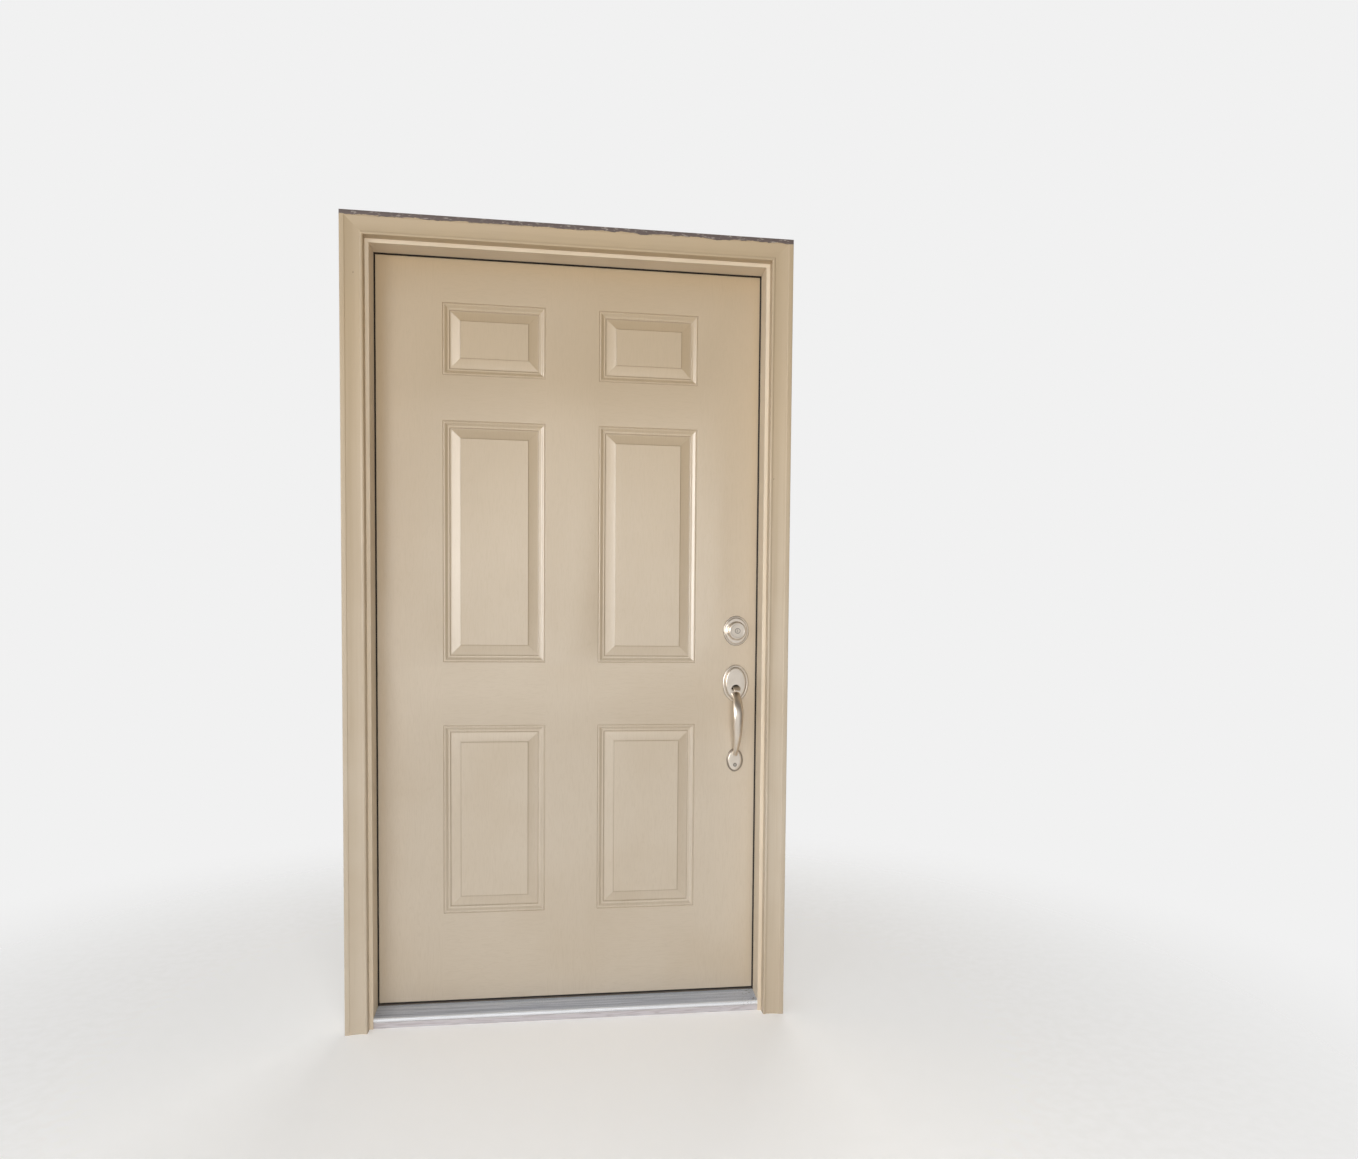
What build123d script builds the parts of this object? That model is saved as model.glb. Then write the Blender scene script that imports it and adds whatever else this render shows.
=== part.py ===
from build123d import *
import os
from math import cos, radians, sin

os.makedirs("parts", exist_ok=True)

# Axes: X across the doorway with the latch side positive, Y into the house, Z up.
# The origin is at the middle of the sill's underside, in the plane of the jambs' outside edges.

# Door slab
slab_width = 1067.0
slab_height = 2032.0
slab_thickness = 44.45
side_gap = 3.0
head_gap = 3.0
skin_thickness = 2.0
edge_stile = 40.0
edge_rail = 38.0

# Six raised panels, measured over the outer line of their moulding
stile_width = 185.5
mullion_width = 144.0
bottom_rail = 243.0
lower_panel = 522.0
lock_rail = 173.0
middle_panel = 654.0
upper_rail = 120.0
top_panel = 193.0

# Panel moulding: distance in from the outer line, and depth below the slab's face
quirk_slope = 1.0
quirk_width = 3.0
quirk_depth = 1.4
bead_width = 6.0
bead_depth = 0.3
bead_shoulder = 1.8
valley_ease = 3.0
valley_ease_depth = 5.0
valley_start = 17.0
valley_end = 21.0
valley_depth = 7.0
bevel_end = 46.5
bevel_depth = 2.4
field_inset = 48.5
field_depth = 1.0
field_overlap = 1.0
skin_slant = 0.6

# Jambs
jamb_depth = 116.0
jamb_thickness = 19.0
stop_rise = 12.75
strip_space = 5.0
jamb_edge_round = 1.5
kerf_width = 1.2
kerf_depth = 9.0
kerf_inset = 3.4

# Casing
casing_width = 57.0
casing_thickness = 31.75
casing_reveal = 10.0
casing_flat = 13.0
casing_step = 1.6
casing_bead = 8.0
casing_bead_height = 29.0
casing_bead_rise = 1.8
casing_cove_middle = 24.0
casing_cove_height = 25.6
nail_radius = 1.25
nail_length = 60.0
nail_set = 1.5
nail_clearance = 0.05
nail_offset = 14.0
nail_end = 150.0
nails_on_leg = 6
nails_on_head = 4

# Sill
sill_floor = 32.3
deck_sheet = 2.2
deck_drop = 6.2
nose_radius = 6.0
nose_lip = 8.0
base_setback = 3.0
cap_height = 5.2
cap_inset = 2.0
cap_round = 1.5
cap_front_gap = 1.0
cap_screws = 4
cap_screw_length = 25.0
cap_screw_end = 120.0

# Weatherstrip and sweep
strip_overhang = 3.4
strip_clearance = 0.3
barb_thickness = 1.0
barb_depth = 8.4
sweep_height = 4.2
sweep_sheet = 1.7
sweep_fin = 1.4
sweep_fins = 4

# Hinges
hinge_height = 101.6
hinge_leaf = 2.5
hinge_backset = 6.35
knuckle_radius = 6.0
pin_radius = 3.0
pin_stand_off = 7.0
knuckle_count = 5
knuckle_gap = 0.3
top_hinge_drop = 178.0
bottom_hinge_rise = 279.0
pin_head_radius = 5.0
pin_head_height = 3.0
hinge_screw_shares = ((0.12, 0.45), (0.37, 0.72), (0.63, 0.72), (0.88, 0.45))

# Screws
screw_head_radius = 4.4
screw_head_depth = 2.2
screw_shank_radius = 2.1
screw_clearance = 0.1
frame_screw_length = 18.0
door_screw_length = 30.0
jamb_screw_length = 50.0
jamb_screw_edge = 22.0
cross_width = 1.2
cross_length = 4.4
cross_depth = 1.2

# Lock positions, up from the slab's bottom edge
latch_height = 890.0
lock_spacing = 140.0
backset = 70.0
cross_bore_radius = 27.0
edge_bore_radius = 12.6
tube_radius = 12.5
tube_bore_radius = 11.0
tube_inset = 18.0
lock_block_width = 80.0
lock_block_above = 62.0
lock_block_below = 48.0

# Faceplates and strikes
plate_height = 57.0
plate_width = 25.4
plate_thickness = 2.3
plate_screw_spacing = 41.0
plate_screw_radius = 1.7
plate_screw_head = 3.4
plate_screw_depth = 1.6
strike_thickness = 1.6
strike_lip = 1.5
strike_round = 3.0
strike_screw_length = 15.0
faceplate_screw_length = 20.0
window_clearance = 0.25
pocket_clearance = 2.0
pocket_depth = 14.0

# Bolts
latch_throw = 12.7
latch_width = 12.7
latch_height_size = 17.0
latch_head_length = 30.0
latch_bevel = 10.0
bolt_throw = 25.4
bolt_width = 14.0
bolt_height_size = 20.0
bolt_corner = 4.5
bolt_head_length = 48.0
bolt_tip_round = 1.0
rail_low = 6.6
rail_high = 9.4
yoke_front = 0.3
yoke_back = 4.8
yoke_wall = 2.0
yoke_play = 0.75
yoke_top = 20.0

# Hubs that drive the bolts
latch_turn = 45.0
bolt_turn = 90.0
hub_radius = 6.2
drive_pin_radius = 1.8
arm_thickness = 3.0
arm_gap = 0.2
arm_width = 5.0
hub_tail = 7.0
spindle_size = 6.0
spindle_end_play = 0.5
spindle_grip = 12.0
running_clearance = 0.05
shaft_clearance = 0.08
lug_radius = 11.6
lug_tip_radius = 2.2

# Outside trim
rosette_half_width = 37.0
rosette_half_height = 52.5
rosette_drop = 9.0
rosette_rim = 5.0
plateau_margin = 8.8
plateau_edge = 1.5
rosette_edge = 3.0
plateau_height = 9.5
pad_sink = 1.0
boss_radius = 5.8
boss_length = 8.0
screw_boss_radius = 4.0
screw_entry = 1.0
knob_screw_spots = [(-16.0, 16.0), (-16.0, -16.0)]
window_width = 27.0
window_foot_width = 18.0
window_top_drop = 13.0
window_shoulder_drop = 24.5
window_foot_drop = 30.5
thumb_pivot_drop = 20.0
thumb_pivot_out = 4.0
trunnion_radius = 1.6
trunnion_play = 0.1
trunnion_reach = 7.5
thumb_width = 18.0
thumb_sheet = 3.0
thumb_reach = 31.0
thumb_tip_drop = 11.5
thumb_bend_drop = 3.5
thumb_tip_slant = 1.0
thumb_lug_gap = 1.0
thumb_hub_gap = 0.6
thumb_arm_reach = 3.0
thumb_arm_length = 10.0
thumb_arm_width = 7.7
thumb_arm_bend = 2.0
thumb_neck_start = 1.5

deadbolt_half_width = 36.0
deadbolt_half_height = 42.0
deadbolt_rim = 4.5
deadbolt_step = 8.0
deadbolt_step_margin = 5.5
collar_base_radius = 26.7
collar_face_radius = 23.0
collar_reach = 26.0
collar_edge = 1.5
collar_play = 0.3
flange_play = 0.5
cylinder_radius = 17.9
cylinder_recess = 0.5
cylinder_back = 6.0
plug_radius = 6.45
plug_proud = 0.8
keyway_width = 1.6
keyway_height = 8.0
keyway_depth = 18.0
deadbolt_screw_spots = [(-15.0, -18.0), (15.0, -18.0)]

# Arched grip
grip_top_drop = 42.0
grip_reach = 52.0
grip_length = 170.0
grip_shoulder_out = 38.0
grip_shoulder_down = 17.0
grip_shoulder_half_width = 12.6
grip_belly_down = 51.0
grip_half_width = 14.0
grip_hand_out = 46.0
grip_hand_down = 100.0
grip_hand_half_width = 12.2
grip_neck_out = 27.0
grip_neck_up = 26.0
grip_neck_half_width = 8.4
grip_neck_half_depth = 6.0
grip_half_depth = 8.0
grip_top_half_width = 11.0
grip_top_half_depth = 8.5
grip_foot_half_width = 6.0
grip_foot_half_depth = 5.0
grip_leaves = (0, -1, -0.1)
grip_lands = (0, 1, -0.75)
foot_half_width = 23.5
foot_half_height = 33.0
foot_below = 17.0
foot_rim = 3.5
foot_edge = 2.0
foot_height = 7.0
foot_margin = 4.5
foot_screw_drop = 13.0
grip_screw_length = 34.0

# Inside trim
rose_radius = 33.0
rose_thickness = 9.0
knob_shaft_radius = 10.0
knob_radius = 27.0
knob_reach = 62.0
knob_end_play = 1.0
knob_neck = 14.0
knob_shoulder = 6.5
knob_cheek_radius = 21.6
knob_crown = 5.0
knob_face_radius = 12.0
knob_widest = 43.5
turn_shaft_radius = 5.0
turn_shaft_inner = 6.0
turn_tab_length = 40.0
turn_tab_thickness = 9.0
turn_tab_reach = 22.0
turn_tab_round = 2.0
turn_collar_radius = 12.0
turn_collar_height = 4.0
tail_width = 6.4
tail_thickness = 2.4
tail_grip = 8.0
through_screw_radius = 2.0
through_screw_head = 4.0
through_screw_stop = 2.0

# How far a cut runs past the face that it opens
over = 1.0

# Planes worked out from the sizes above
half_slab = slab_width / 2
slab_back = jamb_depth
slab_front = slab_back - slab_thickness
slab_mid = (slab_front + slab_back) / 2
stop_face = slab_front - strip_space
cap_top = sill_floor + cap_height
slab_bottom = cap_top + strip_clearance + sweep_height
slab_top = slab_bottom + slab_height
rabbet_x = half_slab + side_gap
jamb_x = rabbet_x + jamb_thickness
stop_x = rabbet_x - stop_rise
rabbet_z = slab_top + head_gap
jamb_z = rabbet_z + jamb_thickness
stop_z = rabbet_z - stop_rise
casing_x = stop_x + casing_reveal
casing_outer_x = casing_x + casing_width
casing_z = stop_z + casing_reveal
casing_outer_z = casing_z + casing_width
nail_head_y = nail_set - casing_cove_height
deck_back = slab_front - cap_front_gap
lock_x = half_slab - backset
latch_z = slab_bottom + latch_height
deadbolt_z = latch_z + lock_spacing
pin_x = -(half_slab + side_gap / 2)
pin_y = jamb_depth + pin_stand_off
latch_arm = latch_throw / (2 * sin(radians(latch_turn / 2)))
bolt_arm = bolt_throw / (2 * sin(radians(bolt_turn / 2)))
hinge_bottoms = {
    "top": slab_top - top_hinge_drop - hinge_height,
    "middle": (slab_bottom + bottom_hinge_rise + slab_top - top_hinge_drop - hinge_height) / 2,
    "bottom": slab_bottom + bottom_hinge_rise,
}


def block(x, y, z, mode=Mode.ADD):
    """A box from its two limits along x, y and z."""
    size = [abs(limits[1] - limits[0]) for limits in (x, y, z)]
    with Locations(((x[0] + x[1]) / 2, (y[0] + y[1]) / 2, (z[0] + z[1]) / 2)):
        Box(*size, mode=mode)


def rod(start, direction, radius, length, mode=Mode.ADD):
    """A cylinder that starts at a point and runs along a direction."""
    with Locations(Plane(origin=start, z_dir=direction)):
        Cylinder(radius, length, align=(Align.CENTER, Align.CENTER, Align.MIN), mode=mode)


def cone(start, direction, radius, end_radius, length, mode=Mode.ADD):
    """A tapered rod that starts at a point and runs along a direction."""
    with Locations(Plane(origin=start, z_dir=direction)):
        Cone(radius, end_radius, length, align=(Align.CENTER, Align.CENTER, Align.MIN), mode=mode)


def screw(start, direction, head, depth, shank, length):
    """A countersunk screw with a cross recess, its head flush with the start point."""
    cone(start, direction, head, shank, depth)
    rod(start, direction, shank, length)
    with Locations(Plane(origin=start, z_dir=direction)):
        for turn in (0, 90):
            Box(
                cross_length,
                cross_width,
                cross_depth,
                rotation=(0, 0, turn),
                align=(Align.CENTER, Align.CENTER, Align.MIN),
                mode=Mode.SUBTRACT,
            )


def screw_hole(start, direction, head, depth, shank, length):
    """The countersunk hole that takes a screw with its clearance."""
    wide, narrow = head + screw_clearance, shank + screw_clearance
    cone(start, direction, wide, narrow, depth + screw_clearance, Mode.SUBTRACT)
    rod(start, direction, narrow, length + screw_clearance, Mode.SUBTRACT)


def wood_screw(start, direction, length):
    """One of the large screws that hold jambs, sill, hinges and grip."""
    screw(start, direction, screw_head_radius, screw_head_depth, screw_shank_radius, length)


def wood_screw_hole(start, direction, length):
    """Countersunk hole of a large screw."""
    screw_hole(start, direction, screw_head_radius, screw_head_depth, screw_shank_radius, length)


def pilot_hole(start, direction, shank, length):
    """Straight hole that takes a screw's shank with its clearance."""
    rod(start, direction, shank + screw_clearance, length + screw_clearance, Mode.SUBTRACT)


def hinge_screw_points(bottom):
    """Height and depth of the four screws of a hinge leaf, two rows slightly staggered."""
    leaf_front = slab_front + hinge_backset
    leaf_depth = slab_back - leaf_front
    return [(bottom + up * hinge_height, leaf_front + back * leaf_depth) for up, back in hinge_screw_shares]


def nail_points():
    """Front ends of the casing nails: (x, z) on both legs and the head."""
    points = []
    for i in range(nails_on_leg):
        z = nail_end + i * (casing_z - 2 * nail_end) / (nails_on_leg - 1)
        points += [(-(casing_x + nail_offset), z), (casing_x + nail_offset, z)]
    for i in range(nails_on_head):
        x = -casing_x + nail_end + i * 2 * (casing_x - nail_end) / (nails_on_head - 1)
        points.append((x, casing_z + nail_offset))
    return points


def nail_holes():
    """Holes of the casing nails, open at the casing's face where the heads are set below it."""
    end = nail_head_y + nail_length + nail_clearance
    for x, z in nail_points():
        start = (x, -casing_thickness, z)
        rod(start, (0, 1, 0), nail_radius + nail_clearance, end + casing_thickness, Mode.SUBTRACT)


def casing_outline():
    """Casing section as (distance from the inner edge, height off the wall), counter-clockwise."""
    inner = (0, 0)
    bead_start = (0, casing_bead_height - casing_bead_rise)
    bead_top = (casing_bead / 2, casing_bead_height)
    bead_end = (casing_bead, casing_bead_height - casing_bead_rise)
    cove_mid = (casing_cove_middle, casing_cove_height)
    cove_end = (casing_width - casing_flat, casing_thickness - casing_step)
    step = (casing_width - casing_flat, casing_thickness)
    outer = (casing_width, casing_thickness)
    back = (casing_width, 0)
    return inner, bead_start, bead_top, bead_end, cove_mid, cove_end, step, outer, back


def casing_section(place):
    """Draw the casing section in the open sketch, with place() turning section points into sketch points."""
    points = [place(point) for point in casing_outline()]
    inner, bead_start, bead_top, bead_end, cove_mid, cove_end, step, outer, back = points
    with BuildLine() as outline:
        Line(inner, bead_start)
        ThreePointArc(bead_start, bead_top, bead_end)
        ThreePointArc(bead_end, cove_mid, cove_end)
        Polyline(cove_end, step, outer, back, inner)
    make_face(outline.edges())


# Jambs
head_screw_points = [
    (side * (rabbet_x + jamb_thickness / 2), y)
    for side in (-1, 1)
    for y in (jamb_screw_edge, jamb_depth - jamb_screw_edge)
]


def head_screw_holes():
    """Holes of the screws that go down through the head into the side jambs."""
    for x, y in head_screw_points:
        start = (x, y, jamb_z)
        wood_screw_hole(start, (0, 0, -1), jamb_screw_length)


def side_jamb(side):
    """Rebated side jamb: the stop is the thick part outside, the slab closes into the thin part inside."""
    kerf = rabbet_x - kerf_inset
    with BuildPart() as jamb:
        with BuildSketch(Plane.XY):
            with BuildLine():
                Polyline(
                    (side * jamb_x, 0),
                    (side * stop_x, 0),
                    (side * stop_x, stop_face),
                    (side * rabbet_x, stop_face),
                    (side * rabbet_x, jamb_depth),
                    (side * jamb_x, jamb_depth),
                    close=True,
                )
            make_face()
        extrude(amount=rabbet_z)
        corner = Vector(side * stop_x, 0, rabbet_z / 2)
        fillet(jamb.edges().filter_by(Axis.Z).sort_by_distance(corner)[0], jamb_edge_round)
        housing_x = (side * (stop_x - over), side * (jamb_x + over))
        block(housing_x, (-over, stop_face), (stop_z, rabbet_z + over), Mode.SUBTRACT)
        kerf_x = (side * (kerf - kerf_width / 2), side * (kerf + kerf_width / 2))
        block(kerf_x, (stop_face - kerf_depth, stop_face), (cap_top, stop_z), Mode.SUBTRACT)
        head_screw_holes()
        nail_holes()
    return jamb


jamb_hinge_side = side_jamb(-1)
with jamb_hinge_side:
    for hinge_bottom in hinge_bottoms.values():
        block(
            (-rabbet_x, -(rabbet_x + hinge_leaf)),
            (slab_front + hinge_backset, jamb_depth + over),
            (hinge_bottom, hinge_bottom + hinge_height),
            Mode.SUBTRACT,
        )
        for z, y in hinge_screw_points(hinge_bottom):
            pilot_hole((-rabbet_x, y, z), (-1, 0, 0), screw_shank_radius, frame_screw_length)
jamb_hinge_side.part.label = "jamb_hinge_side"
export_step(jamb_hinge_side.part, "parts/jamb_hinge_side.step")

strike_y = (slab_mid - plate_width / 2, jamb_depth + strike_lip)
jamb_latch_side = side_jamb(1)
with jamb_latch_side:
    for z, depth, half_y, half_z in (
        (latch_z, pocket_depth, latch_width / 2, latch_height_size / 2),
        (deadbolt_z, jamb_thickness + over, bolt_width / 2, bolt_height_size / 2),
    ):
        half_y += pocket_clearance
        half_z += pocket_clearance
        block(
            (rabbet_x, rabbet_x + strike_thickness),
            (strike_y[0], jamb_depth + over),
            (z - plate_height / 2, z + plate_height / 2),
            Mode.SUBTRACT,
        )
        pocket_y = (slab_mid - half_y, slab_mid + half_y)
        block((rabbet_x, rabbet_x + depth), pocket_y, (z - half_z, z + half_z), Mode.SUBTRACT)
        for end in (-1, 1):
            start = (rabbet_x, slab_mid, z + end * plate_screw_spacing / 2)
            pilot_hole(start, (1, 0, 0), plate_screw_radius, strike_screw_length)
jamb_latch_side.part.label = "jamb_latch_side"
export_step(jamb_latch_side.part, "parts/jamb_latch_side.step")

with BuildPart() as jamb_head:
    with BuildSketch(Plane.YZ):
        with BuildLine():
            Polyline(
                (0, jamb_z),
                (0, stop_z),
                (stop_face, stop_z),
                (stop_face, rabbet_z),
                (jamb_depth, rabbet_z),
                (jamb_depth, jamb_z),
                close=True,
            )
        make_face()
    extrude(amount=jamb_x, both=True)
    lower_front = Vector(0, 0, stop_z)
    fillet(jamb_head.edges().filter_by(Axis.X).sort_by_distance(lower_front)[0], jamb_edge_round)
    kerf_head = rabbet_z - kerf_inset
    block(
        (-stop_x, stop_x),
        (stop_face - kerf_depth, stop_face),
        (kerf_head - kerf_width / 2, kerf_head + kerf_width / 2),
        Mode.SUBTRACT,
    )
    head_screw_holes()
    nail_holes()
jamb_head.part.label = "jamb_head"
export_step(jamb_head.part, "parts/jamb_head.step")

with BuildPart() as jamb_screws:
    for x, y in head_screw_points:
        start = (x, y, jamb_z)
        wood_screw(start, (0, 0, -1), jamb_screw_length)
jamb_screws.part.label = "jamb_screws"
export_step(jamb_screws.part, "parts/jamb_screws.step")


# Casing
def mitre(side):
    """Plane of the 45 degree joint between a leg and the head of the casing."""
    return Plane(origin=(side * casing_x, 0, casing_z), z_dir=(-side, 0, 1))


def casing_leg(side):
    """Casing leg from the sill's underside up to its mitre."""
    with BuildPart() as leg:
        with BuildSketch(Plane.XY):
            casing_section(lambda p: (side * (casing_x + p[0]), -p[1]))
        extrude(amount=casing_outer_z)
        split(bisect_by=mitre(side), keep=Keep.BOTTOM)
        nail_holes()
    return leg


brickmould_left = casing_leg(-1)
brickmould_left.part.label = "brickmould_left"
export_step(brickmould_left.part, "parts/brickmould_left.step")

brickmould_right = casing_leg(1)
brickmould_right.part.label = "brickmould_right"
export_step(brickmould_right.part, "parts/brickmould_right.step")

with BuildPart() as brickmould_head:
    with BuildSketch(Plane.YZ):
        casing_section(lambda p: (-p[1], casing_z + p[0]))
    extrude(amount=casing_outer_x, both=True)
    split(bisect_by=mitre(-1), keep=Keep.TOP)
    split(bisect_by=mitre(1), keep=Keep.TOP)
    nail_holes()
brickmould_head.part.label = "brickmould_head"
export_step(brickmould_head.part, "parts/brickmould_head.step")

with BuildPart() as casing_nails:
    for x, z in nail_points():
        rod((x, nail_head_y, z), (0, 1, 0), nail_radius, nail_length)
casing_nails.part.label = "casing_nails"
export_step(casing_nails.part, "parts/casing_nails.step")

# Sill
deck_front_z = sill_floor + deck_sheet - deck_drop
nose_centre = (nose_radius, deck_front_z - nose_radius)
nose_inner = nose_radius - deck_sheet

with BuildPart() as sill_deck:
    with BuildSketch(Plane.YZ):
        with BuildLine():
            top_front = (nose_centre[0], nose_centre[1] + nose_radius)
            low_front = (nose_centre[0], nose_centre[1] - nose_radius)
            Line((deck_back, sill_floor + deck_sheet), top_front)
            ThreePointArc(top_front, (0, nose_centre[1]), low_front)
            Polyline(
                low_front,
                (nose_centre[0] + nose_lip, low_front[1]),
                (nose_centre[0] + nose_lip, low_front[1] + deck_sheet),
                (nose_centre[0], low_front[1] + deck_sheet),
            )
            ThreePointArc(
                (nose_centre[0], nose_centre[1] - nose_inner),
                (deck_sheet, nose_centre[1]),
                (nose_centre[0], nose_centre[1] + nose_inner),
            )
            Polyline(
                (nose_centre[0], nose_centre[1] + nose_inner),
                (deck_back, sill_floor),
                (deck_back, sill_floor + deck_sheet),
            )
        make_face()
    extrude(amount=stop_x, both=True)
sill_deck.part.label = "sill_deck"
export_step(sill_deck.part, "parts/sill_deck.step")

cap_back = jamb_depth - cap_inset
cap_screw_y = (deck_back + cap_back) / 2
cap_screw_step = 2 * (rabbet_x - cap_screw_end) / (cap_screws - 1)
cap_screw_xs = [cap_screw_end - rabbet_x + i * cap_screw_step for i in range(cap_screws)]


def cap_screw_holes():
    """Holes of the screws that hold the cap down on the base."""
    for x in cap_screw_xs:
        start = (x, cap_screw_y, cap_top)
        wood_screw_hole(start, (0, 0, -1), cap_screw_length)


with BuildPart() as sill_base:
    lip_end = nose_centre[0] + nose_lip
    lip_bottom = nose_centre[1] - nose_radius
    slope = (sill_floor - (nose_centre[1] + nose_inner)) / (deck_back - nose_centre[0])
    with BuildSketch(Plane.YZ):
        with BuildLine():
            Polyline(
                (base_setback, 0),
                (jamb_depth, 0),
                (jamb_depth, sill_floor),
                (deck_back, sill_floor),
                (lip_end, sill_floor - slope * (deck_back - lip_end)),
                (lip_end, lip_bottom),
                (base_setback, lip_bottom),
                close=True,
            )
        make_face()
    extrude(amount=rabbet_x, both=True)
    for side in (-1, 1):
        corner_x = (side * stop_x, side * (rabbet_x + over))
        block(corner_x, (0, stop_face), (-over, sill_floor + over), Mode.SUBTRACT)
    cap_screw_holes()
sill_base.part.label = "sill_base"
export_step(sill_base.part, "parts/sill_base.step")

with BuildPart() as sill_cap:
    block((-rabbet_x, rabbet_x), (deck_back, cap_back), (sill_floor, cap_top))
    top_edges = sill_cap.faces().sort_by(Axis.Z)[-1].edges().filter_by(Axis.X)
    fillet(top_edges, cap_round)
    cap_screw_holes()
sill_cap.part.label = "sill_cap"
export_step(sill_cap.part, "parts/sill_cap.step")

with BuildPart() as sill_cap_screws:
    for x in cap_screw_xs:
        start = (x, cap_screw_y, cap_top)
        wood_screw(start, (0, 0, -1), cap_screw_length)
sill_cap_screws.part.label = "sill_cap_screws"
export_step(sill_cap_screws.part, "parts/sill_cap_screws.step")

# Weatherstrip: a soft bulb that fills the space between stop and slab, held by a barb in the kerf
strip_back = slab_front - strip_clearance
strip_foot = cap_top + strip_clearance


def side_strip(side):
    """Upright weatherstrip of one jamb."""
    kerf = rabbet_x - kerf_inset
    with BuildPart() as strip:
        bulb_x = (side * (stop_x - strip_overhang), side * rabbet_x)
        block(bulb_x, (stop_face, strip_back), (strip_foot, rabbet_z))
        nose = strip.edges().filter_by(Axis.Z).group_by(SortBy.DISTANCE)[0]
        fillet(nose, strip_overhang / 2)
        barb_x = (side * (kerf - barb_thickness / 2), side * (kerf + barb_thickness / 2))
        block(barb_x, (stop_face - barb_depth, stop_face), (strip_foot, stop_z - over))
    return strip


weatherstrip_left = side_strip(-1)
weatherstrip_left.part.label = "weatherstrip_left"
export_step(weatherstrip_left.part, "parts/weatherstrip_left.step")

weatherstrip_right = side_strip(1)
weatherstrip_right.part.label = "weatherstrip_right"
export_step(weatherstrip_right.part, "parts/weatherstrip_right.step")

with BuildPart() as weatherstrip_head:
    strip_end = stop_x - strip_overhang - running_clearance
    block((-strip_end, strip_end), (stop_face, strip_back), (stop_z - strip_overhang, rabbet_z))
    lower = weatherstrip_head.edges().filter_by(Axis.X).group_by(Axis.Z)[0]
    fillet(lower, strip_overhang / 2)
    barb_z = rabbet_z - kerf_inset
    block(
        (-strip_end, strip_end),
        (stop_face - barb_depth, stop_face),
        (barb_z - barb_thickness / 2, barb_z + barb_thickness / 2),
    )
weatherstrip_head.part.label = "weatherstrip_head"
export_step(weatherstrip_head.part, "parts/weatherstrip_head.step")

with BuildPart() as corner_pads:
    for side in (-1, 1):
        block((side * stop_x, side * rabbet_x), (stop_face, deck_back), (sill_floor, cap_top))
corner_pads.part.label = "corner_pads"
export_step(corner_pads.part, "parts/corner_pads.step")


# Slab skins
def moulding_outline(wall):
    """Moulding section as (inset, depth), pushed inward by a wall thickness for the skin's hidden side."""
    spread = wall * skin_slant
    bead_end = quirk_width + bead_width
    return [
        (-spread, 0),
        (quirk_slope - spread, quirk_depth + wall),
        (quirk_width, quirk_depth + wall),
        (quirk_width + bead_shoulder, bead_depth + wall),
        (bead_end - bead_shoulder, bead_depth + wall),
        (bead_end, quirk_depth + wall),
        (valley_start - valley_ease - spread, valley_ease_depth + wall),
        (valley_start, valley_depth + wall),
        (valley_end, valley_depth + wall),
        (bevel_end, bevel_depth + wall),
        (field_inset, field_depth + wall),
        (field_inset + field_overlap, field_depth + wall),
        (field_inset + field_overlap, 0),
    ]


def panel_centres():
    """Middle x and z and size of the six panels."""
    width = (slab_width - 2 * stile_width - mullion_width) / 2
    x = (mullion_width + width) / 2
    low = slab_bottom + bottom_rail
    middle = low + lower_panel + lock_rail
    top = middle + middle_panel + upper_rail
    rows = ((low, lower_panel), (middle, middle_panel), (top, top_panel))
    return [(side * x, z + height / 2, width, height) for side in (-1, 1) for z, height in rows]


def panel_tool(face, inward, wall):
    """Solid of one skin's six panel hollows, between the slab's face and the moulding pushed in by a wall."""
    with BuildPart() as tool:
        for x, z, width, height in panel_centres():
            low, high = z - height / 2, z + height / 2
            left, right = x - width / 2, x + width / 2
            with BuildLine() as path:
                Polyline(
                    (x, face, low),
                    (right, face, low),
                    (right, face, high),
                    (left, face, high),
                    (left, face, low),
                    close=True,
                )
            with BuildSketch(Plane(origin=(x, face, low), x_dir=(0, 0, 1), z_dir=(-inward, 0, 0))) as section:
                with BuildLine():
                    Polyline(*[(s, d) for s, d in moulding_outline(wall)], close=True)
                make_face()
            sweep(sections=section.sketch, path=path.wires()[0], transition=Transition.RIGHT)
            inner = field_inset + field_overlap / 2
            block(
                (left + inner, right - inner),
                (face, face + inward * (field_depth + wall)),
                (low + inner, high - inner),
            )
    return tool


def skin(face, inward):
    """Embossed door skin: a thin plate whose hidden side follows the panels on its face."""
    with BuildPart() as sheet:
        block((-half_slab, half_slab), (face, face + inward * skin_thickness), (slab_bottom, slab_top))
        add(panel_tool(face, inward, skin_thickness).part)
        add(panel_tool(face, inward, 0).part, mode=Mode.SUBTRACT)
    return sheet


def lock_bores():
    """Cross bores through the slab and edge bores to them, for the latch and the deadbolt."""
    for z in (latch_z, deadbolt_z):
        rod((lock_x, slab_front, z), (0, 1, 0), cross_bore_radius, slab_thickness, Mode.SUBTRACT)
        rod((lock_x, slab_mid, z), (1, 0, 0), edge_bore_radius, backset + over, Mode.SUBTRACT)


def faceplate_seats():
    """Shallow mortises in the slab's edge that take the two faceplates."""
    for z in (latch_z, deadbolt_z):
        block(
            (half_slab - plate_thickness, half_slab + over),
            (slab_mid - plate_width / 2, slab_mid + plate_width / 2),
            (z - plate_height / 2, z + plate_height / 2),
            Mode.SUBTRACT,
        )
        for end in (-1, 1):
            start = (half_slab, slab_mid, z + end * plate_screw_spacing / 2)
            pilot_hole(start, (-1, 0, 0), plate_screw_radius, faceplate_screw_length)


def hinge_mortises():
    """Mortises in the slab's hinge edge, open at its inside face, that take the three leaves."""
    for bottom in hinge_bottoms.values():
        block(
            (-half_slab, -half_slab + hinge_leaf),
            (slab_front + hinge_backset, slab_back),
            (bottom, bottom + hinge_height),
            Mode.SUBTRACT,
        )


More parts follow.
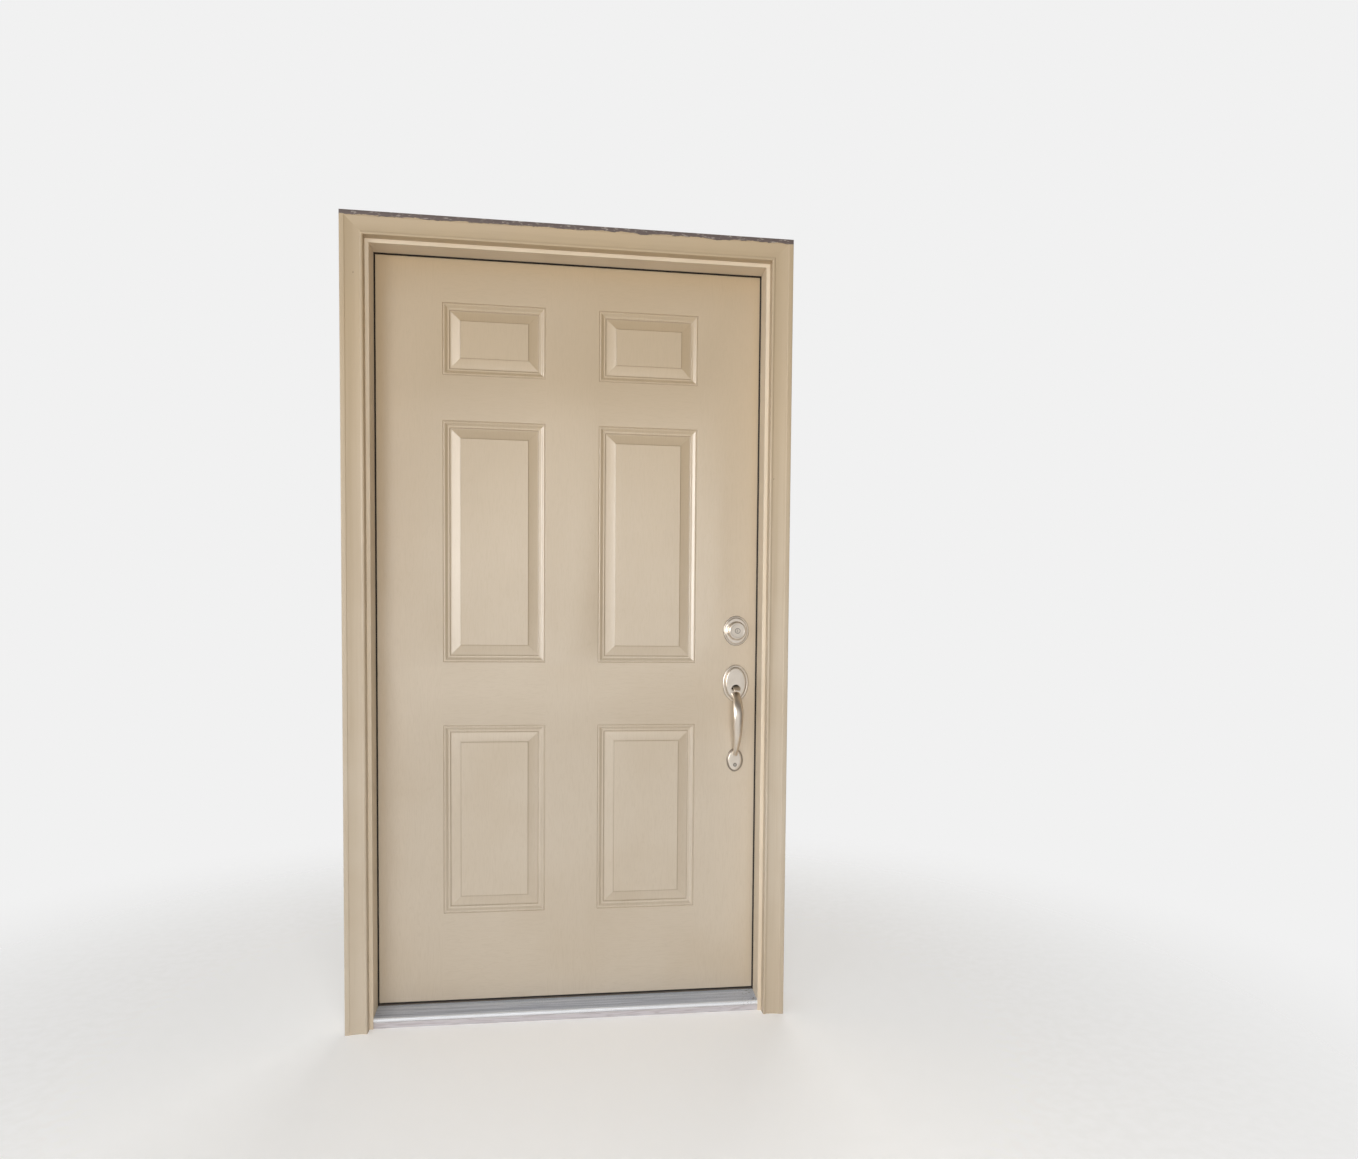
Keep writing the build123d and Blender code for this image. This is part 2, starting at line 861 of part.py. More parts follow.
foot_z = latch_z - grip_top_drop - grip_length - foot_below
foot_screw_z = foot_z - foot_screw_drop
frame_sides = (slab_front + skin_thickness, slab_back - skin_thickness)
inner_x = half_slab - edge_stile

skin_front = skin(slab_front, 1)
with skin_front:
    lock_bores()
    pilot_hole((lock_x, slab_front, foot_screw_z), (0, 1, 0), screw_shank_radius, skin_thickness)
skin_front.part.label = "skin_front"
export_step(skin_front.part, "parts/skin_front.step")

skin_back = skin(slab_back, -1)
with skin_back:
    hinge_mortises()
    lock_bores()
skin_back.part.label = "skin_back"
export_step(skin_back.part, "parts/skin_back.step")

with BuildPart() as stile_hinge:
    block((-half_slab, -inner_x), frame_sides, (slab_bottom, slab_top))
    hinge_mortises()
    for hinge_bottom in hinge_bottoms.values():
        for z, y in hinge_screw_points(hinge_bottom):
            pilot_hole((-half_slab, y, z), (1, 0, 0), screw_shank_radius, door_screw_length)
stile_hinge.part.label = "stile_hinge"
export_step(stile_hinge.part, "parts/stile_hinge.step")

with BuildPart() as stile_latch:
    block((inner_x, half_slab), frame_sides, (slab_bottom, slab_top))
    lock_bores()
    faceplate_seats()
stile_latch.part.label = "stile_latch"
export_step(stile_latch.part, "parts/stile_latch.step")

with BuildPart() as rail_top:
    block((-inner_x, inner_x), frame_sides, (slab_top - edge_rail, slab_top))
rail_top.part.label = "rail_top"
export_step(rail_top.part, "parts/rail_top.step")

with BuildPart() as rail_bottom:
    block((-inner_x, inner_x), frame_sides, (slab_bottom, slab_bottom + edge_rail))
rail_bottom.part.label = "rail_bottom"
export_step(rail_bottom.part, "parts/rail_bottom.step")

block_x = (inner_x - lock_block_width, inner_x)
block_z = (foot_screw_z - lock_block_below, deadbolt_z + lock_block_above)
with BuildPart() as lock_block:
    block(block_x, frame_sides, block_z)
    lock_bores()
    pilot_hole((lock_x, slab_front, foot_screw_z), (0, 1, 0), screw_shank_radius, grip_screw_length)
lock_block.part.label = "lock_block"
export_step(lock_block.part, "parts/lock_block.step")

with BuildPart() as foam_core:
    block((-inner_x, inner_x), frame_sides, (slab_bottom + edge_rail, slab_top - edge_rail))
    block(block_x, frame_sides, block_z, Mode.SUBTRACT)
    add(panel_tool(slab_front, 1, skin_thickness).part, mode=Mode.SUBTRACT)
    add(panel_tool(slab_back, -1, skin_thickness).part, mode=Mode.SUBTRACT)
foam_core.part.label = "foam_core"
export_step(foam_core.part, "parts/foam_core.step")

with BuildPart() as door_sweep:
    sheet_bottom = slab_bottom - sweep_sheet
    fin_pitch = (frame_sides[1] - frame_sides[0]) / sweep_fins
    block((-half_slab, half_slab), frame_sides, (sheet_bottom, slab_bottom))
    for i in range(sweep_fins):
        fin_y = frame_sides[0] + (i + 1) * fin_pitch - fin_pitch / 2
        fin_sides = (fin_y - sweep_fin / 2, fin_y + sweep_fin / 2)
        block((-half_slab, half_slab), fin_sides, (slab_bottom - sweep_height, sheet_bottom))
door_sweep.part.label = "door_sweep"
export_step(door_sweep.part, "parts/door_sweep.step")


# Hinges
knuckle = hinge_height / knuckle_count
leaf_front = slab_front + hinge_backset


def hinge_leaf_part(bottom, surface_x, inward, first, screw_length):
    """One leaf with its knuckles: a plate let into its mortise, reaching back to the barrel round the pin."""
    with BuildPart() as leaf:
        plate_x = (surface_x, surface_x + inward * hinge_leaf)
        block(plate_x, (leaf_front, pin_y), (bottom, bottom + hinge_height))
        for i in range(knuckle_count):
            low = bottom + i * knuckle + knuckle_gap / 2
            high = bottom + (i + 1) * knuckle - knuckle_gap / 2
            if i % 2 == first:
                rod((pin_x, pin_y, low), (0, 0, 1), knuckle_radius, high - low)
            else:
                clear = (bottom + i * knuckle - knuckle_gap / 2, bottom + (i + 1) * knuckle + knuckle_gap / 2)
                block(plate_x, (jamb_depth + knuckle_gap, pin_y), clear, Mode.SUBTRACT)
        rod((pin_x, pin_y, bottom), (0, 0, 1), pin_radius + shaft_clearance, hinge_height, Mode.SUBTRACT)
        for z, y in hinge_screw_points(bottom):
            start = (surface_x, y, z)
            wood_screw_hole(start, (inward, 0, 0), screw_length)
    return leaf


def hinge_screws(surface_x, inward, screw_length):
    """All screws of the three leaves on one side."""
    with BuildPart() as screws:
        for bottom in hinge_bottoms.values():
            for z, y in hinge_screw_points(bottom):
                start = (surface_x, y, z)
                wood_screw(start, (inward, 0, 0), screw_length)
    return screws


for place, hinge_bottom in hinge_bottoms.items():
    frame_leaf = hinge_leaf_part(hinge_bottom, -rabbet_x, -1, 0, frame_screw_length)
    frame_leaf.part.label = f"hinge_frame_leaf_{place}"
    export_step(frame_leaf.part, f"parts/hinge_frame_leaf_{place}.step")
    door_leaf = hinge_leaf_part(hinge_bottom, -half_slab, 1, 1, door_screw_length)
    door_leaf.part.label = f"hinge_door_leaf_{place}"
    export_step(door_leaf.part, f"parts/hinge_door_leaf_{place}.step")

hinge_frame_screws = hinge_screws(-rabbet_x, -1, frame_screw_length)
hinge_frame_screws.part.label = "hinge_frame_screws"
export_step(hinge_frame_screws.part, "parts/hinge_frame_screws.step")

hinge_door_screws = hinge_screws(-half_slab, 1, door_screw_length)
hinge_door_screws.part.label = "hinge_door_screws"
export_step(hinge_door_screws.part, "parts/hinge_door_screws.step")

with BuildPart() as hinge_pins:
    for hinge_bottom in hinge_bottoms.values():
        rod((pin_x, pin_y, hinge_bottom), (0, 0, 1), pin_radius, hinge_height)
        rod((pin_x, pin_y, hinge_bottom + hinge_height), (0, 0, 1), pin_head_radius, pin_head_height)
hinge_pins.part.label = "hinge_pins"
export_step(hinge_pins.part, "parts/hinge_pins.step")


# Strikes
def plate_screw_hole(start, direction, thickness):
    """Countersunk hole of a small screw through a strike or a faceplate."""
    axis = (direction, 0, 0)
    screw_hole(start, axis, plate_screw_head, plate_screw_depth, plate_screw_radius, thickness)


def strike(z, half_y, half_z):
    """Strike plate let into the latch jamb, with its window and two screw holes."""
    with BuildPart() as plate:
        block((rabbet_x, rabbet_x + strike_thickness), strike_y, (z - plate_height / 2, z + plate_height / 2))
        fillet(plate.edges().filter_by(Axis.X).group_by(Axis.Y)[-1], strike_round)
        plate_x = (rabbet_x, rabbet_x + strike_thickness)
        block(plate_x, (slab_mid - half_y, slab_mid + half_y), (z - half_z, z + half_z), Mode.SUBTRACT)
        for end in (-1, 1):
            start = (rabbet_x, slab_mid, z + end * plate_screw_spacing / 2)
            plate_screw_hole(start, 1, strike_thickness)
    return plate


window_room = pocket_clearance / 2
latch_strike = strike(latch_z, latch_width / 2 + window_room, latch_height_size / 2 + window_room)
latch_strike.part.label = "latch_strike"
export_step(latch_strike.part, "parts/latch_strike.step")

deadbolt_strike = strike(deadbolt_z, bolt_width / 2 + window_room, bolt_height_size / 2 + window_room)
deadbolt_strike.part.label = "deadbolt_strike"
export_step(deadbolt_strike.part, "parts/deadbolt_strike.step")


def plate_screws(surface_x, direction, length):
    """The four small screws of the two faceplates or the two strikes."""
    with BuildPart() as screws:
        for z in (latch_z, deadbolt_z):
            for end in (-1, 1):
                start = (surface_x, slab_mid, z + end * plate_screw_spacing / 2)
                axis = (direction, 0, 0)
                screw(start, axis, plate_screw_head, plate_screw_depth, plate_screw_radius, length)
    return screws


strike_screws = plate_screws(rabbet_x, 1, strike_screw_length)
strike_screws.part.label = "strike_screws"
export_step(strike_screws.part, "parts/strike_screws.step")

faceplate_screws = plate_screws(half_slab, -1, faceplate_screw_length)
faceplate_screws.part.label = "faceplate_screws"
export_step(faceplate_screws.part, "parts/faceplate_screws.step")


# Latch and deadbolt, each a tube with its faceplate and a bolt that slides in it
def bolt_case(z, half_y, half_z):
    """Bored tube in the edge bore, closed by a faceplate with a window for the bolt."""
    tube_start = lock_x + tube_inset
    bore_end = half_slab - 2 * plate_thickness
    with BuildPart() as case:
        rod((tube_start, slab_mid, z), (1, 0, 0), tube_radius, half_slab - plate_thickness - tube_start)
        block(
            (half_slab - plate_thickness, half_slab),
            (slab_mid - plate_width / 2, slab_mid + plate_width / 2),
            (z - plate_height / 2, z + plate_height / 2),
        )
        rod((tube_start, slab_mid, z), (1, 0, 0), tube_bore_radius, bore_end - tube_start, Mode.SUBTRACT)
        window_y = (slab_mid - half_y - window_clearance, slab_mid + half_y + window_clearance)
        window_z = (z - half_z - window_clearance, z + half_z + window_clearance)
        block((tube_start, half_slab), window_y, window_z, Mode.SUBTRACT)
        for end in (-1, 1):
            start = (half_slab, slab_mid, z + end * plate_screw_spacing / 2)
            plate_screw_hole(start, -1, plate_thickness)
    return case


latch_case = bolt_case(latch_z, latch_width / 2, latch_height_size / 2)
latch_case.part.label = "latch_case"
export_step(latch_case.part, "parts/latch_case.step")

deadbolt_case = bolt_case(deadbolt_z, bolt_width / 2, bolt_height_size / 2)
deadbolt_case.part.label = "deadbolt_case"
export_step(deadbolt_case.part, "parts/deadbolt_case.step")


def bolt_tail(z, head_start, yoke_x):
    """Rail from the bolt's head to an upright fork that the drive pin moves."""
    plane_y = (slab_mid + yoke_front, slab_mid + yoke_back)
    half = drive_pin_radius + yoke_play + yoke_wall
    slot = drive_pin_radius + yoke_play
    block((yoke_x - half, head_start + over), plane_y, (z + rail_low, z + rail_high))
    block((yoke_x - half, yoke_x + half), plane_y, (z + rail_low, z + yoke_top))
    block((yoke_x - slot, yoke_x + slot), plane_y, (z + rail_high, z + yoke_top), Mode.SUBTRACT)


with BuildPart() as latch_bolt:
    tip = half_slab + latch_throw
    head_start = tip - latch_head_length
    block(
        (head_start, tip),
        (slab_mid - latch_width / 2, slab_mid + latch_width / 2),
        (latch_z - latch_height_size / 2, latch_z + latch_height_size / 2),
    )
    front_corner = Vector(tip, slab_mid - latch_width / 2, latch_z)
    leading = latch_bolt.edges().filter_by(Axis.Z).sort_by_distance(front_corner)[0]
    chamfer(leading, latch_throw - side_gap / 2, latch_bevel)
    bolt_tail(latch_z, head_start, lock_x + latch_throw / 2)
latch_bolt.part.label = "latch_bolt"
export_step(latch_bolt.part, "parts/latch_bolt.step")

with BuildPart() as deadbolt_bolt:
    with BuildSketch(Plane(origin=(half_slab - bolt_head_length, slab_mid, deadbolt_z), z_dir=(1, 0, 0))):
        RectangleRounded(bolt_height_size, bolt_width, bolt_corner)
    extrude(amount=bolt_head_length)
    fillet(deadbolt_bolt.faces().sort_by(Axis.X)[-1].edges(), bolt_tip_round)
    bolt_tail(deadbolt_z, half_slab - bolt_head_length, lock_x - bolt_throw / 2)
deadbolt_bolt.part.label = "deadbolt_bolt"
export_step(deadbolt_bolt.part, "parts/deadbolt_bolt.step")


def drive_hub(z, arm, angle):
    """Hub with an arm whose pin stands in the bolt's fork; angle is from upright, towards the slab's edge."""
    arm_back = slab_mid - arm_gap
    arm_front = arm_back - arm_thickness
    tip_x = lock_x + arm * sin(radians(angle))
    tip_z = z + arm * cos(radians(angle))
    rod((lock_x, arm_front, z), (0, 1, 0), hub_radius, arm_thickness + arm_gap + hub_tail)
    with Locations(Plane(origin=(lock_x, (arm_front + arm_back) / 2, z), z_dir=(0, 1, 0))):
        Box(
            arm,
            arm_width,
            arm_thickness,
            rotation=(0, 0, angle),
            align=(Align.MIN, Align.CENTER, Align.CENTER),
        )
    rod((tip_x, arm_front, tip_z), (0, 1, 0), arm_width / 2, arm_thickness)
    rod((tip_x, arm_front, tip_z), (0, 1, 0), drive_pin_radius, arm_thickness + arm_gap + yoke_back)


with BuildPart() as latch_hub:
    drive_hub(latch_z, latch_arm, latch_turn / 2)
    lug_x = lock_x + lug_radius * cos(radians(latch_turn))
    lug_z = latch_z - lug_radius * sin(radians(latch_turn))
    hub_front = slab_mid - arm_gap - arm_thickness
    rod((lug_x, hub_front, lug_z), (0, 1, 0), lug_tip_radius, arm_thickness)
    with Locations(Plane(origin=(lock_x, hub_front + arm_thickness / 2, latch_z), z_dir=(0, 1, 0))):
        Box(
            lug_radius,
            2 * lug_tip_radius,
            arm_thickness,
            rotation=(0, 0, 90 + latch_turn),
            align=(Align.MIN, Align.CENTER, Align.CENTER),
        )
    hole = spindle_size / 2 + running_clearance
    hole_x = (lock_x - hole, lock_x + hole)
    block(hole_x, (slab_front, slab_back), (latch_z - hole, latch_z + hole), Mode.SUBTRACT)
latch_hub.part.label = "latch_hub"
export_step(latch_hub.part, "parts/latch_hub.step")



def tail_hole(depth):
    """Flat hole that takes the tailpiece, over a span of depth."""
    half_x = tail_thickness / 2 + running_clearance
    half_z = tail_width / 2 + running_clearance
    sides = (lock_x - half_x, lock_x + half_x)
    block(sides, depth, (deadbolt_z - half_z, deadbolt_z + half_z), Mode.SUBTRACT)


with BuildPart() as deadbolt_cam:
    drive_hub(deadbolt_z, bolt_arm, -bolt_turn / 2)
    tail_hole((slab_front, slab_back))
deadbolt_cam.part.label = "deadbolt_cam"
export_step(deadbolt_cam.part, "parts/deadbolt_cam.step")

# Spindle and tailpiece: the bars that turn the two hubs
spindle_front = slab_front + spindle_end_play
spindle_back = slab_back + rose_thickness + knob_neck + spindle_grip
half_spindle = spindle_size / 2
with BuildPart() as spindle:
    block(
        (lock_x - half_spindle, lock_x + half_spindle),
        (spindle_front, spindle_back),
        (latch_z - half_spindle, latch_z + half_spindle),
    )
spindle.part.label = "spindle"
export_step(spindle.part, "parts/spindle.step")

tail_front = slab_front + cylinder_back
tail_back = slab_back - turn_shaft_inner + tail_grip
with BuildPart() as tailpiece:
    block(
        (lock_x - tail_thickness / 2, lock_x + tail_thickness / 2),
        (tail_front, tail_back),
        (deadbolt_z - tail_width / 2, deadbolt_z + tail_width / 2),
    )
tailpiece.part.label = "tailpiece"
export_step(tailpiece.part, "parts/tailpiece.step")


# Outside trim
def outer_plane(z, out=0):
    """Plane on the slab's outside face at the locks' x, facing outward, with its y upward."""
    return Plane(origin=(lock_x, slab_front - out, z), x_dir=(1, 0, 0), z_dir=(0, -1, 0))


def oval_pad(z, start, height, half_width, half_height, edge):
    """Oval plate on the outside face with a rounded front edge."""
    with BuildPart() as pad:
        with BuildSketch(outer_plane(z, start)):
            Ellipse(half_width, half_height)
        extrude(amount=height)
        fillet(pad.faces().sort_by(Axis.Y)[0].edges(), edge)
    return pad.part


def stepped_pad(z, size, heights, margin, edge):
    """Oval plate with a raised middle: the rim is at the first height, the middle at the second."""
    rim, top = heights
    add(oval_pad(z, 0, rim, *size, edge))
    add(oval_pad(z, rim - pad_sink, top - rim + pad_sink, size[0] - margin, size[1] - margin, plateau_edge))


rosette_z = latch_z - rosette_drop
pivot_y = slab_front - thumb_pivot_out
pivot_z = latch_z - thumb_pivot_drop
trunnion_x = thumb_width / 2 + trunnion_reach

with BuildPart() as upper_rosette:
    stepped_pad(
        rosette_z,
        (rosette_half_width, rosette_half_height),
        (rosette_rim, plateau_height),
        plateau_margin,
        rosette_edge,
    )
    rod((lock_x, slab_front, latch_z), (0, 1, 0), boss_radius, boss_length)
    for x, z in knob_screw_spots:
        rod((lock_x + x, slab_front, latch_z + z), (0, 1, 0), screw_boss_radius, boss_length)
    with BuildSketch(outer_plane(latch_z)):
        with BuildLine():
            left = (-window_width / 2, -window_shoulder_drop)
            right = (window_width / 2, -window_shoulder_drop)
            ThreePointArc(left, (0, -window_top_drop), right)
            foot_x = window_foot_width / 2
            Polyline(right, (foot_x, -window_foot_drop), (-foot_x, -window_foot_drop), left)
        make_face()
    extrude(amount=plateau_height, mode=Mode.SUBTRACT)
    spindle_room = spindle_size / 2**0.5 + shaft_clearance
    room_start = spindle_front - spindle_end_play
    rod((lock_x, room_start, latch_z), (0, 1, 0), spindle_room, boss_length, Mode.SUBTRACT)
    for x, z in knob_screw_spots:
        start = (lock_x + x, slab_front - screw_entry, latch_z + z)
        hole = through_screw_radius + running_clearance
        rod(start, (0, 1, 0), hole, boss_length + screw_entry, Mode.SUBTRACT)
    seat = trunnion_radius + trunnion_play
    reach = trunnion_x + trunnion_play
    rod((lock_x - reach, pivot_y, pivot_z), (1, 0, 0), seat, 2 * reach, Mode.SUBTRACT)
    slot_x = (lock_x - reach, lock_x + reach)
    block(slot_x, (pivot_y, slab_front), (pivot_z - seat, pivot_z + seat), Mode.SUBTRACT)
upper_rosette.part.label = "upper_rosette"
export_step(upper_rosette.part, "parts/upper_rosette.step")

# Thumb piece: a bent plate on two trunnions, with its tongue outside and its lifting arm under the hub's lug
lug_drop = lug_radius * sin(radians(latch_turn)) + lug_tip_radius
arm_top = -lug_drop - thumb_lug_gap
arm_end = slab_mid - slab_front + thumb_arm_reach
arm_start = arm_end - thumb_arm_length
plate_top = thumb_sheet / 2 - thumb_pivot_drop
plate_low = plate_top - thumb_sheet
tip_z = -thumb_pivot_drop - thumb_tip_drop
arm_x = lock_x + hub_radius + thumb_hub_gap
with BuildPart() as thumb_piece:
    with BuildSketch(Plane(origin=(lock_x, slab_front, latch_z), x_dir=(0, 1, 0), z_dir=(1, 0, 0))):
        with BuildLine():
            straight = -plateau_height
            bend = (straight - thumb_reach) / 2
            tip_top = (-thumb_reach, tip_z + thumb_sheet)
            tip_low = (thumb_tip_slant - thumb_reach, tip_z)
            Polyline(
                (straight, plate_low),
                (thumb_arm_bend, plate_low),
                (arm_start, arm_top - thumb_sheet),
                (arm_end, arm_top - thumb_sheet),
                (arm_end, arm_top),
                (arm_start, arm_top),
                (thumb_arm_bend, plate_top),
                (straight, plate_top),
            )
            ThreePointArc((straight, plate_top), (bend, plate_top - thumb_bend_drop), tip_top)
            Line(tip_top, tip_low)
            ThreePointArc(tip_low, (bend, plate_low - thumb_bend_drop), (straight, plate_low))
        make_face()
    extrude(amount=thumb_width / 2, both=True)
    tall = (pivot_z - thumb_sheet, latch_z)
    beside_neck = (lock_x - thumb_width, lock_x + thumb_neck_start)
    block(beside_neck, (slab_front + boss_length, slab_back), tall, Mode.SUBTRACT)
    block((lock_x, arm_x), (hub_front - thumb_hub_gap, slab_back), tall, Mode.SUBTRACT)
    arm_y = (slab_front + arm_start, slab_front + arm_end)
    block((arm_x, arm_x + thumb_arm_width), arm_y, (latch_z + arm_top - thumb_sheet, latch_z + arm_top))
    rod((lock_x - trunnion_x, pivot_y, pivot_z), (1, 0, 0), trunnion_radius, 2 * trunnion_x)
thumb_piece.part.label = "thumb_piece"
export_step(thumb_piece.part, "parts/thumb_piece.step")

# Grip: an arch lofted through oval sections, cast in one with its foot
grip_stations = (
    (plateau_height, 0, grip_top_half_width, grip_top_half_depth),
    (grip_shoulder_out, grip_shoulder_down, grip_shoulder_half_width, grip_half_depth),
    (grip_reach, grip_belly_down, grip_half_width, grip_half_depth),
    (grip_hand_out, grip_hand_down, grip_hand_half_width, grip_half_depth),
    (grip_neck_out, grip_length - grip_neck_up, grip_neck_half_width, grip_neck_half_depth),
    (foot_height - pad_sink, grip_length, grip_foot_half_width, grip_foot_half_depth),
)
with BuildPart() as pull_grip:
    with BuildLine():
        grip_top_z = latch_z - grip_top_drop
        route = [(lock_x, slab_front - station[0], grip_top_z - station[1]) for station in grip_stations]
        arch = Spline(*route, tangents=[grip_leaves, grip_lands])
    for point, (out, down, half_width, half_depth) in zip(route, grip_stations):
        along = arch.tangent_at(arch.param_at_point(point))
        with BuildSketch(Plane(origin=point, x_dir=(1, 0, 0), z_dir=along)):
            Ellipse(half_width, half_depth)
    loft()
    rosette_sides = (lock_x - rosette_half_width, lock_x + rosette_half_width)
    rosette_span = (rosette_z - rosette_half_height, rosette_z + rosette_half_height)
    block(rosette_sides, (slab_front - plateau_height, slab_front), rosette_span, Mode.SUBTRACT)
    stepped_pad(foot_z, (foot_half_width, foot_half_height), (foot_rim, foot_height), foot_margin, foot_edge)
    foot_sides = (lock_x - foot_half_width, lock_x + foot_half_width)
    foot_span = (foot_z - foot_half_height, foot_z + foot_half_height)
    block(foot_sides, (slab_front, slab_mid), foot_span, Mode.SUBTRACT)
    wood_screw_hole((lock_x, slab_front - foot_height, foot_screw_z), (0, 1, 0), foot_height)
pull_grip.part.label = "pull_grip"
export_step(pull_grip.part, "parts/pull_grip.step")

with BuildPart() as grip_screw:
    start = (lock_x, slab_front - foot_height, foot_screw_z)
    wood_screw(start, (0, 1, 0), grip_screw_length)
grip_screw.part.label = "grip_screw"
export_step(grip_screw.part, "parts/grip_screw.step")

with BuildPart() as deadbolt_rosette:
    stepped_pad(
        deadbolt_z,
        (deadbolt_half_width, deadbolt_half_height),
        (deadbolt_rim, deadbolt_step),
        deadbolt_step_margin,
        rosette_edge,
    )
    hole = cylinder_radius + collar_play
    rod((lock_x, slab_front, deadbolt_z), (0, -1, 0), hole, deadbolt_step, Mode.SUBTRACT)
deadbolt_rosette.part.label = "deadbolt_rosette"
export_step(deadbolt_rosette.part, "parts/deadbolt_rosette.step")

with BuildPart() as deadbolt_collar:
    start = (lock_x, slab_front - deadbolt_step, deadbolt_z)
    cone(start, (0, -1, 0), collar_base_radius, collar_face_radius, collar_reach - deadbolt_step)
    fillet(deadbolt_collar.faces().sort_by(Axis.Y)[0].edges(), collar_edge)
    rod(start, (0, -1, 0), cylinder_radius + running_clearance, collar_reach, Mode.SUBTRACT)
deadbolt_collar.part.label = "deadbolt_collar"
export_step(deadbolt_collar.part, "parts/deadbolt_collar.step")

with BuildPart() as cylinder_body:
    face = slab_front - collar_reach + cylinder_recess
    rod((lock_x, face, deadbolt_z), (0, 1, 0), cylinder_radius, slab_front + cylinder_back - face)
    cylinder_length = slab_front + cylinder_back - face
    rod((lock_x, slab_front, deadbolt_z), (0, 1, 0), cross_bore_radius - flange_play, cylinder_back)
    rod((lock_x, face, deadbolt_z), (0, 1, 0), plug_radius + shaft_clearance, cylinder_length, Mode.SUBTRACT)
    for x, z in deadbolt_screw_spots:
        start = (lock_x + x, slab_front, deadbolt_z + z)
        rod(start, (0, 1, 0), through_screw_radius + running_clearance, cylinder_back, Mode.SUBTRACT)
cylinder_body.part.label = "cylinder_body"
export_step(cylinder_body.part, "parts/cylinder_body.step")

with BuildPart() as cylinder_plug:
    face = slab_front - collar_reach + cylinder_recess - plug_proud
    rod((lock_x, face, deadbolt_z), (0, 1, 0), plug_radius, slab_front + cylinder_back - face)
    block(
        (lock_x - keyway_width / 2, lock_x + keyway_width / 2),
        (face, face + keyway_depth),
        (deadbolt_z - keyway_height / 2, deadbolt_z + keyway_height / 2),
        Mode.SUBTRACT,
    )
cylinder_plug.part.label = "cylinder_plug"
export_step(cylinder_plug.part, "parts/cylinder_plug.step")


# Inside trim
def inside_rose(z, hole_radius, spots):
    """Round rose on the inside face with holes for its shaft and screws."""
    with BuildPart() as rose:
        rod((lock_x, slab_back, z), (0, 1, 0), rose_radius, rose_thickness)
        fillet(rose.faces().sort_by(Axis.Y)[-1].edges(), rosette_edge)
        rod((lock_x, slab_back, z), (0, 1, 0), hole_radius, rose_thickness, Mode.SUBTRACT)
        for x, dz in spots:
            start = (lock_x + x, slab_back + rose_thickness, z + dz)
            sizes = (through_screw_head, screw_head_depth, through_screw_radius)
            screw_hole(start, (0, -1, 0), *sizes, rose_thickness)
    return rose


def through_screws(z, spots):
    """Machine screws that clamp the inside rose to the outside trim."""
    length = rose_thickness + slab_thickness - through_screw_stop
    with BuildPart() as screws:
        for x, dz in spots:
            start = (lock_x + x, slab_back + rose_thickness, z + dz)
            screw(start, (0, -1, 0), through_screw_head, screw_head_depth, through_screw_radius, length)
    return screws


knob_rose = inside_rose(latch_z, knob_shaft_radius + shaft_clearance, knob_screw_spots)
knob_rose.part.label = "knob_rose"
export_step(knob_rose.part, "parts/knob_rose.step")

deadbolt_rose = inside_rose(deadbolt_z, turn_shaft_radius + shaft_clearance, deadbolt_screw_spots)
deadbolt_rose.part.label = "deadbolt_rose"
export_step(deadbolt_rose.part, "parts/deadbolt_rose.step")

knob_through_screws = through_screws(latch_z, knob_screw_spots)
knob_through_screws.part.label = "knob_through_screws"
export_step(knob_through_screws.part, "parts/knob_through_screws.step")

deadbolt_through_screws = through_screws(deadbolt_z, deadbolt_screw_spots)
deadbolt_through_screws.part.label = "deadbolt_through_screws"
export_step(deadbolt_through_screws.part, "parts/deadbolt_through_screws.step")

with BuildPart() as inside_knob:
    neck_end = rose_thickness + knob_neck
    with BuildSketch(Plane(origin=(lock_x, slab_back, latch_z), x_dir=(0, 1, 0), z_dir=(1, 0, 0))):
        with BuildLine():
            neck = (neck_end, knob_shaft_radius)
            widest = (knob_widest, knob_radius)
            face_edge = (knob_reach, knob_face_radius)
            Polyline((knob_end_play, 0), (knob_end_play, knob_shaft_radius), neck)
            ThreePointArc(neck, (neck_end + knob_shoulder, knob_cheek_radius), widest)
            ThreePointArc(widest, (knob_reach - knob_crown, knob_cheek_radius), face_edge)
            Polyline(face_edge, (knob_reach, 0), (knob_end_play, 0))
        make_face()
    revolve(axis=Axis((lock_x, slab_back, latch_z), (0, 1, 0)))
    hole = half_spindle + running_clearance
    block(
        (lock_x - hole, lock_x + hole),
        (slab_back, spindle_back + running_clearance),
        (latch_z - hole, latch_z + hole),
        Mode.SUBTRACT,
    )
inside_knob.part.label = "inside_knob"
export_step(inside_knob.part, "parts/inside_knob.step")

with BuildPart() as thumb_turn:
    shaft_start = slab_back - turn_shaft_inner
    shaft_end = slab_back + rose_thickness + running_clearance
    rod((lock_x, shaft_start, deadbolt_z), (0, 1, 0), turn_shaft_radius, shaft_end - shaft_start)
    rod((lock_x, shaft_end, deadbolt_z), (0, 1, 0), turn_collar_radius, turn_collar_height)
    with BuildSketch(Plane(origin=(lock_x, shaft_end, deadbolt_z), x_dir=(0, 0, 1), z_dir=(0, 1, 0))):
        SlotOverall(turn_tab_length, turn_tab_thickness)
    extrude(amount=turn_tab_reach)
    fillet(thumb_turn.faces().sort_by(Axis.Y)[-1].edges(), turn_tab_round)
    tail_hole((shaft_start, tail_back + running_clearance))
thumb_turn.part.label = "thumb_turn"
export_step(thumb_turn.part, "parts/thumb_turn.step")
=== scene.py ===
import bmesh
import bpy
import numpy as np
from mathutils import Matrix, Vector


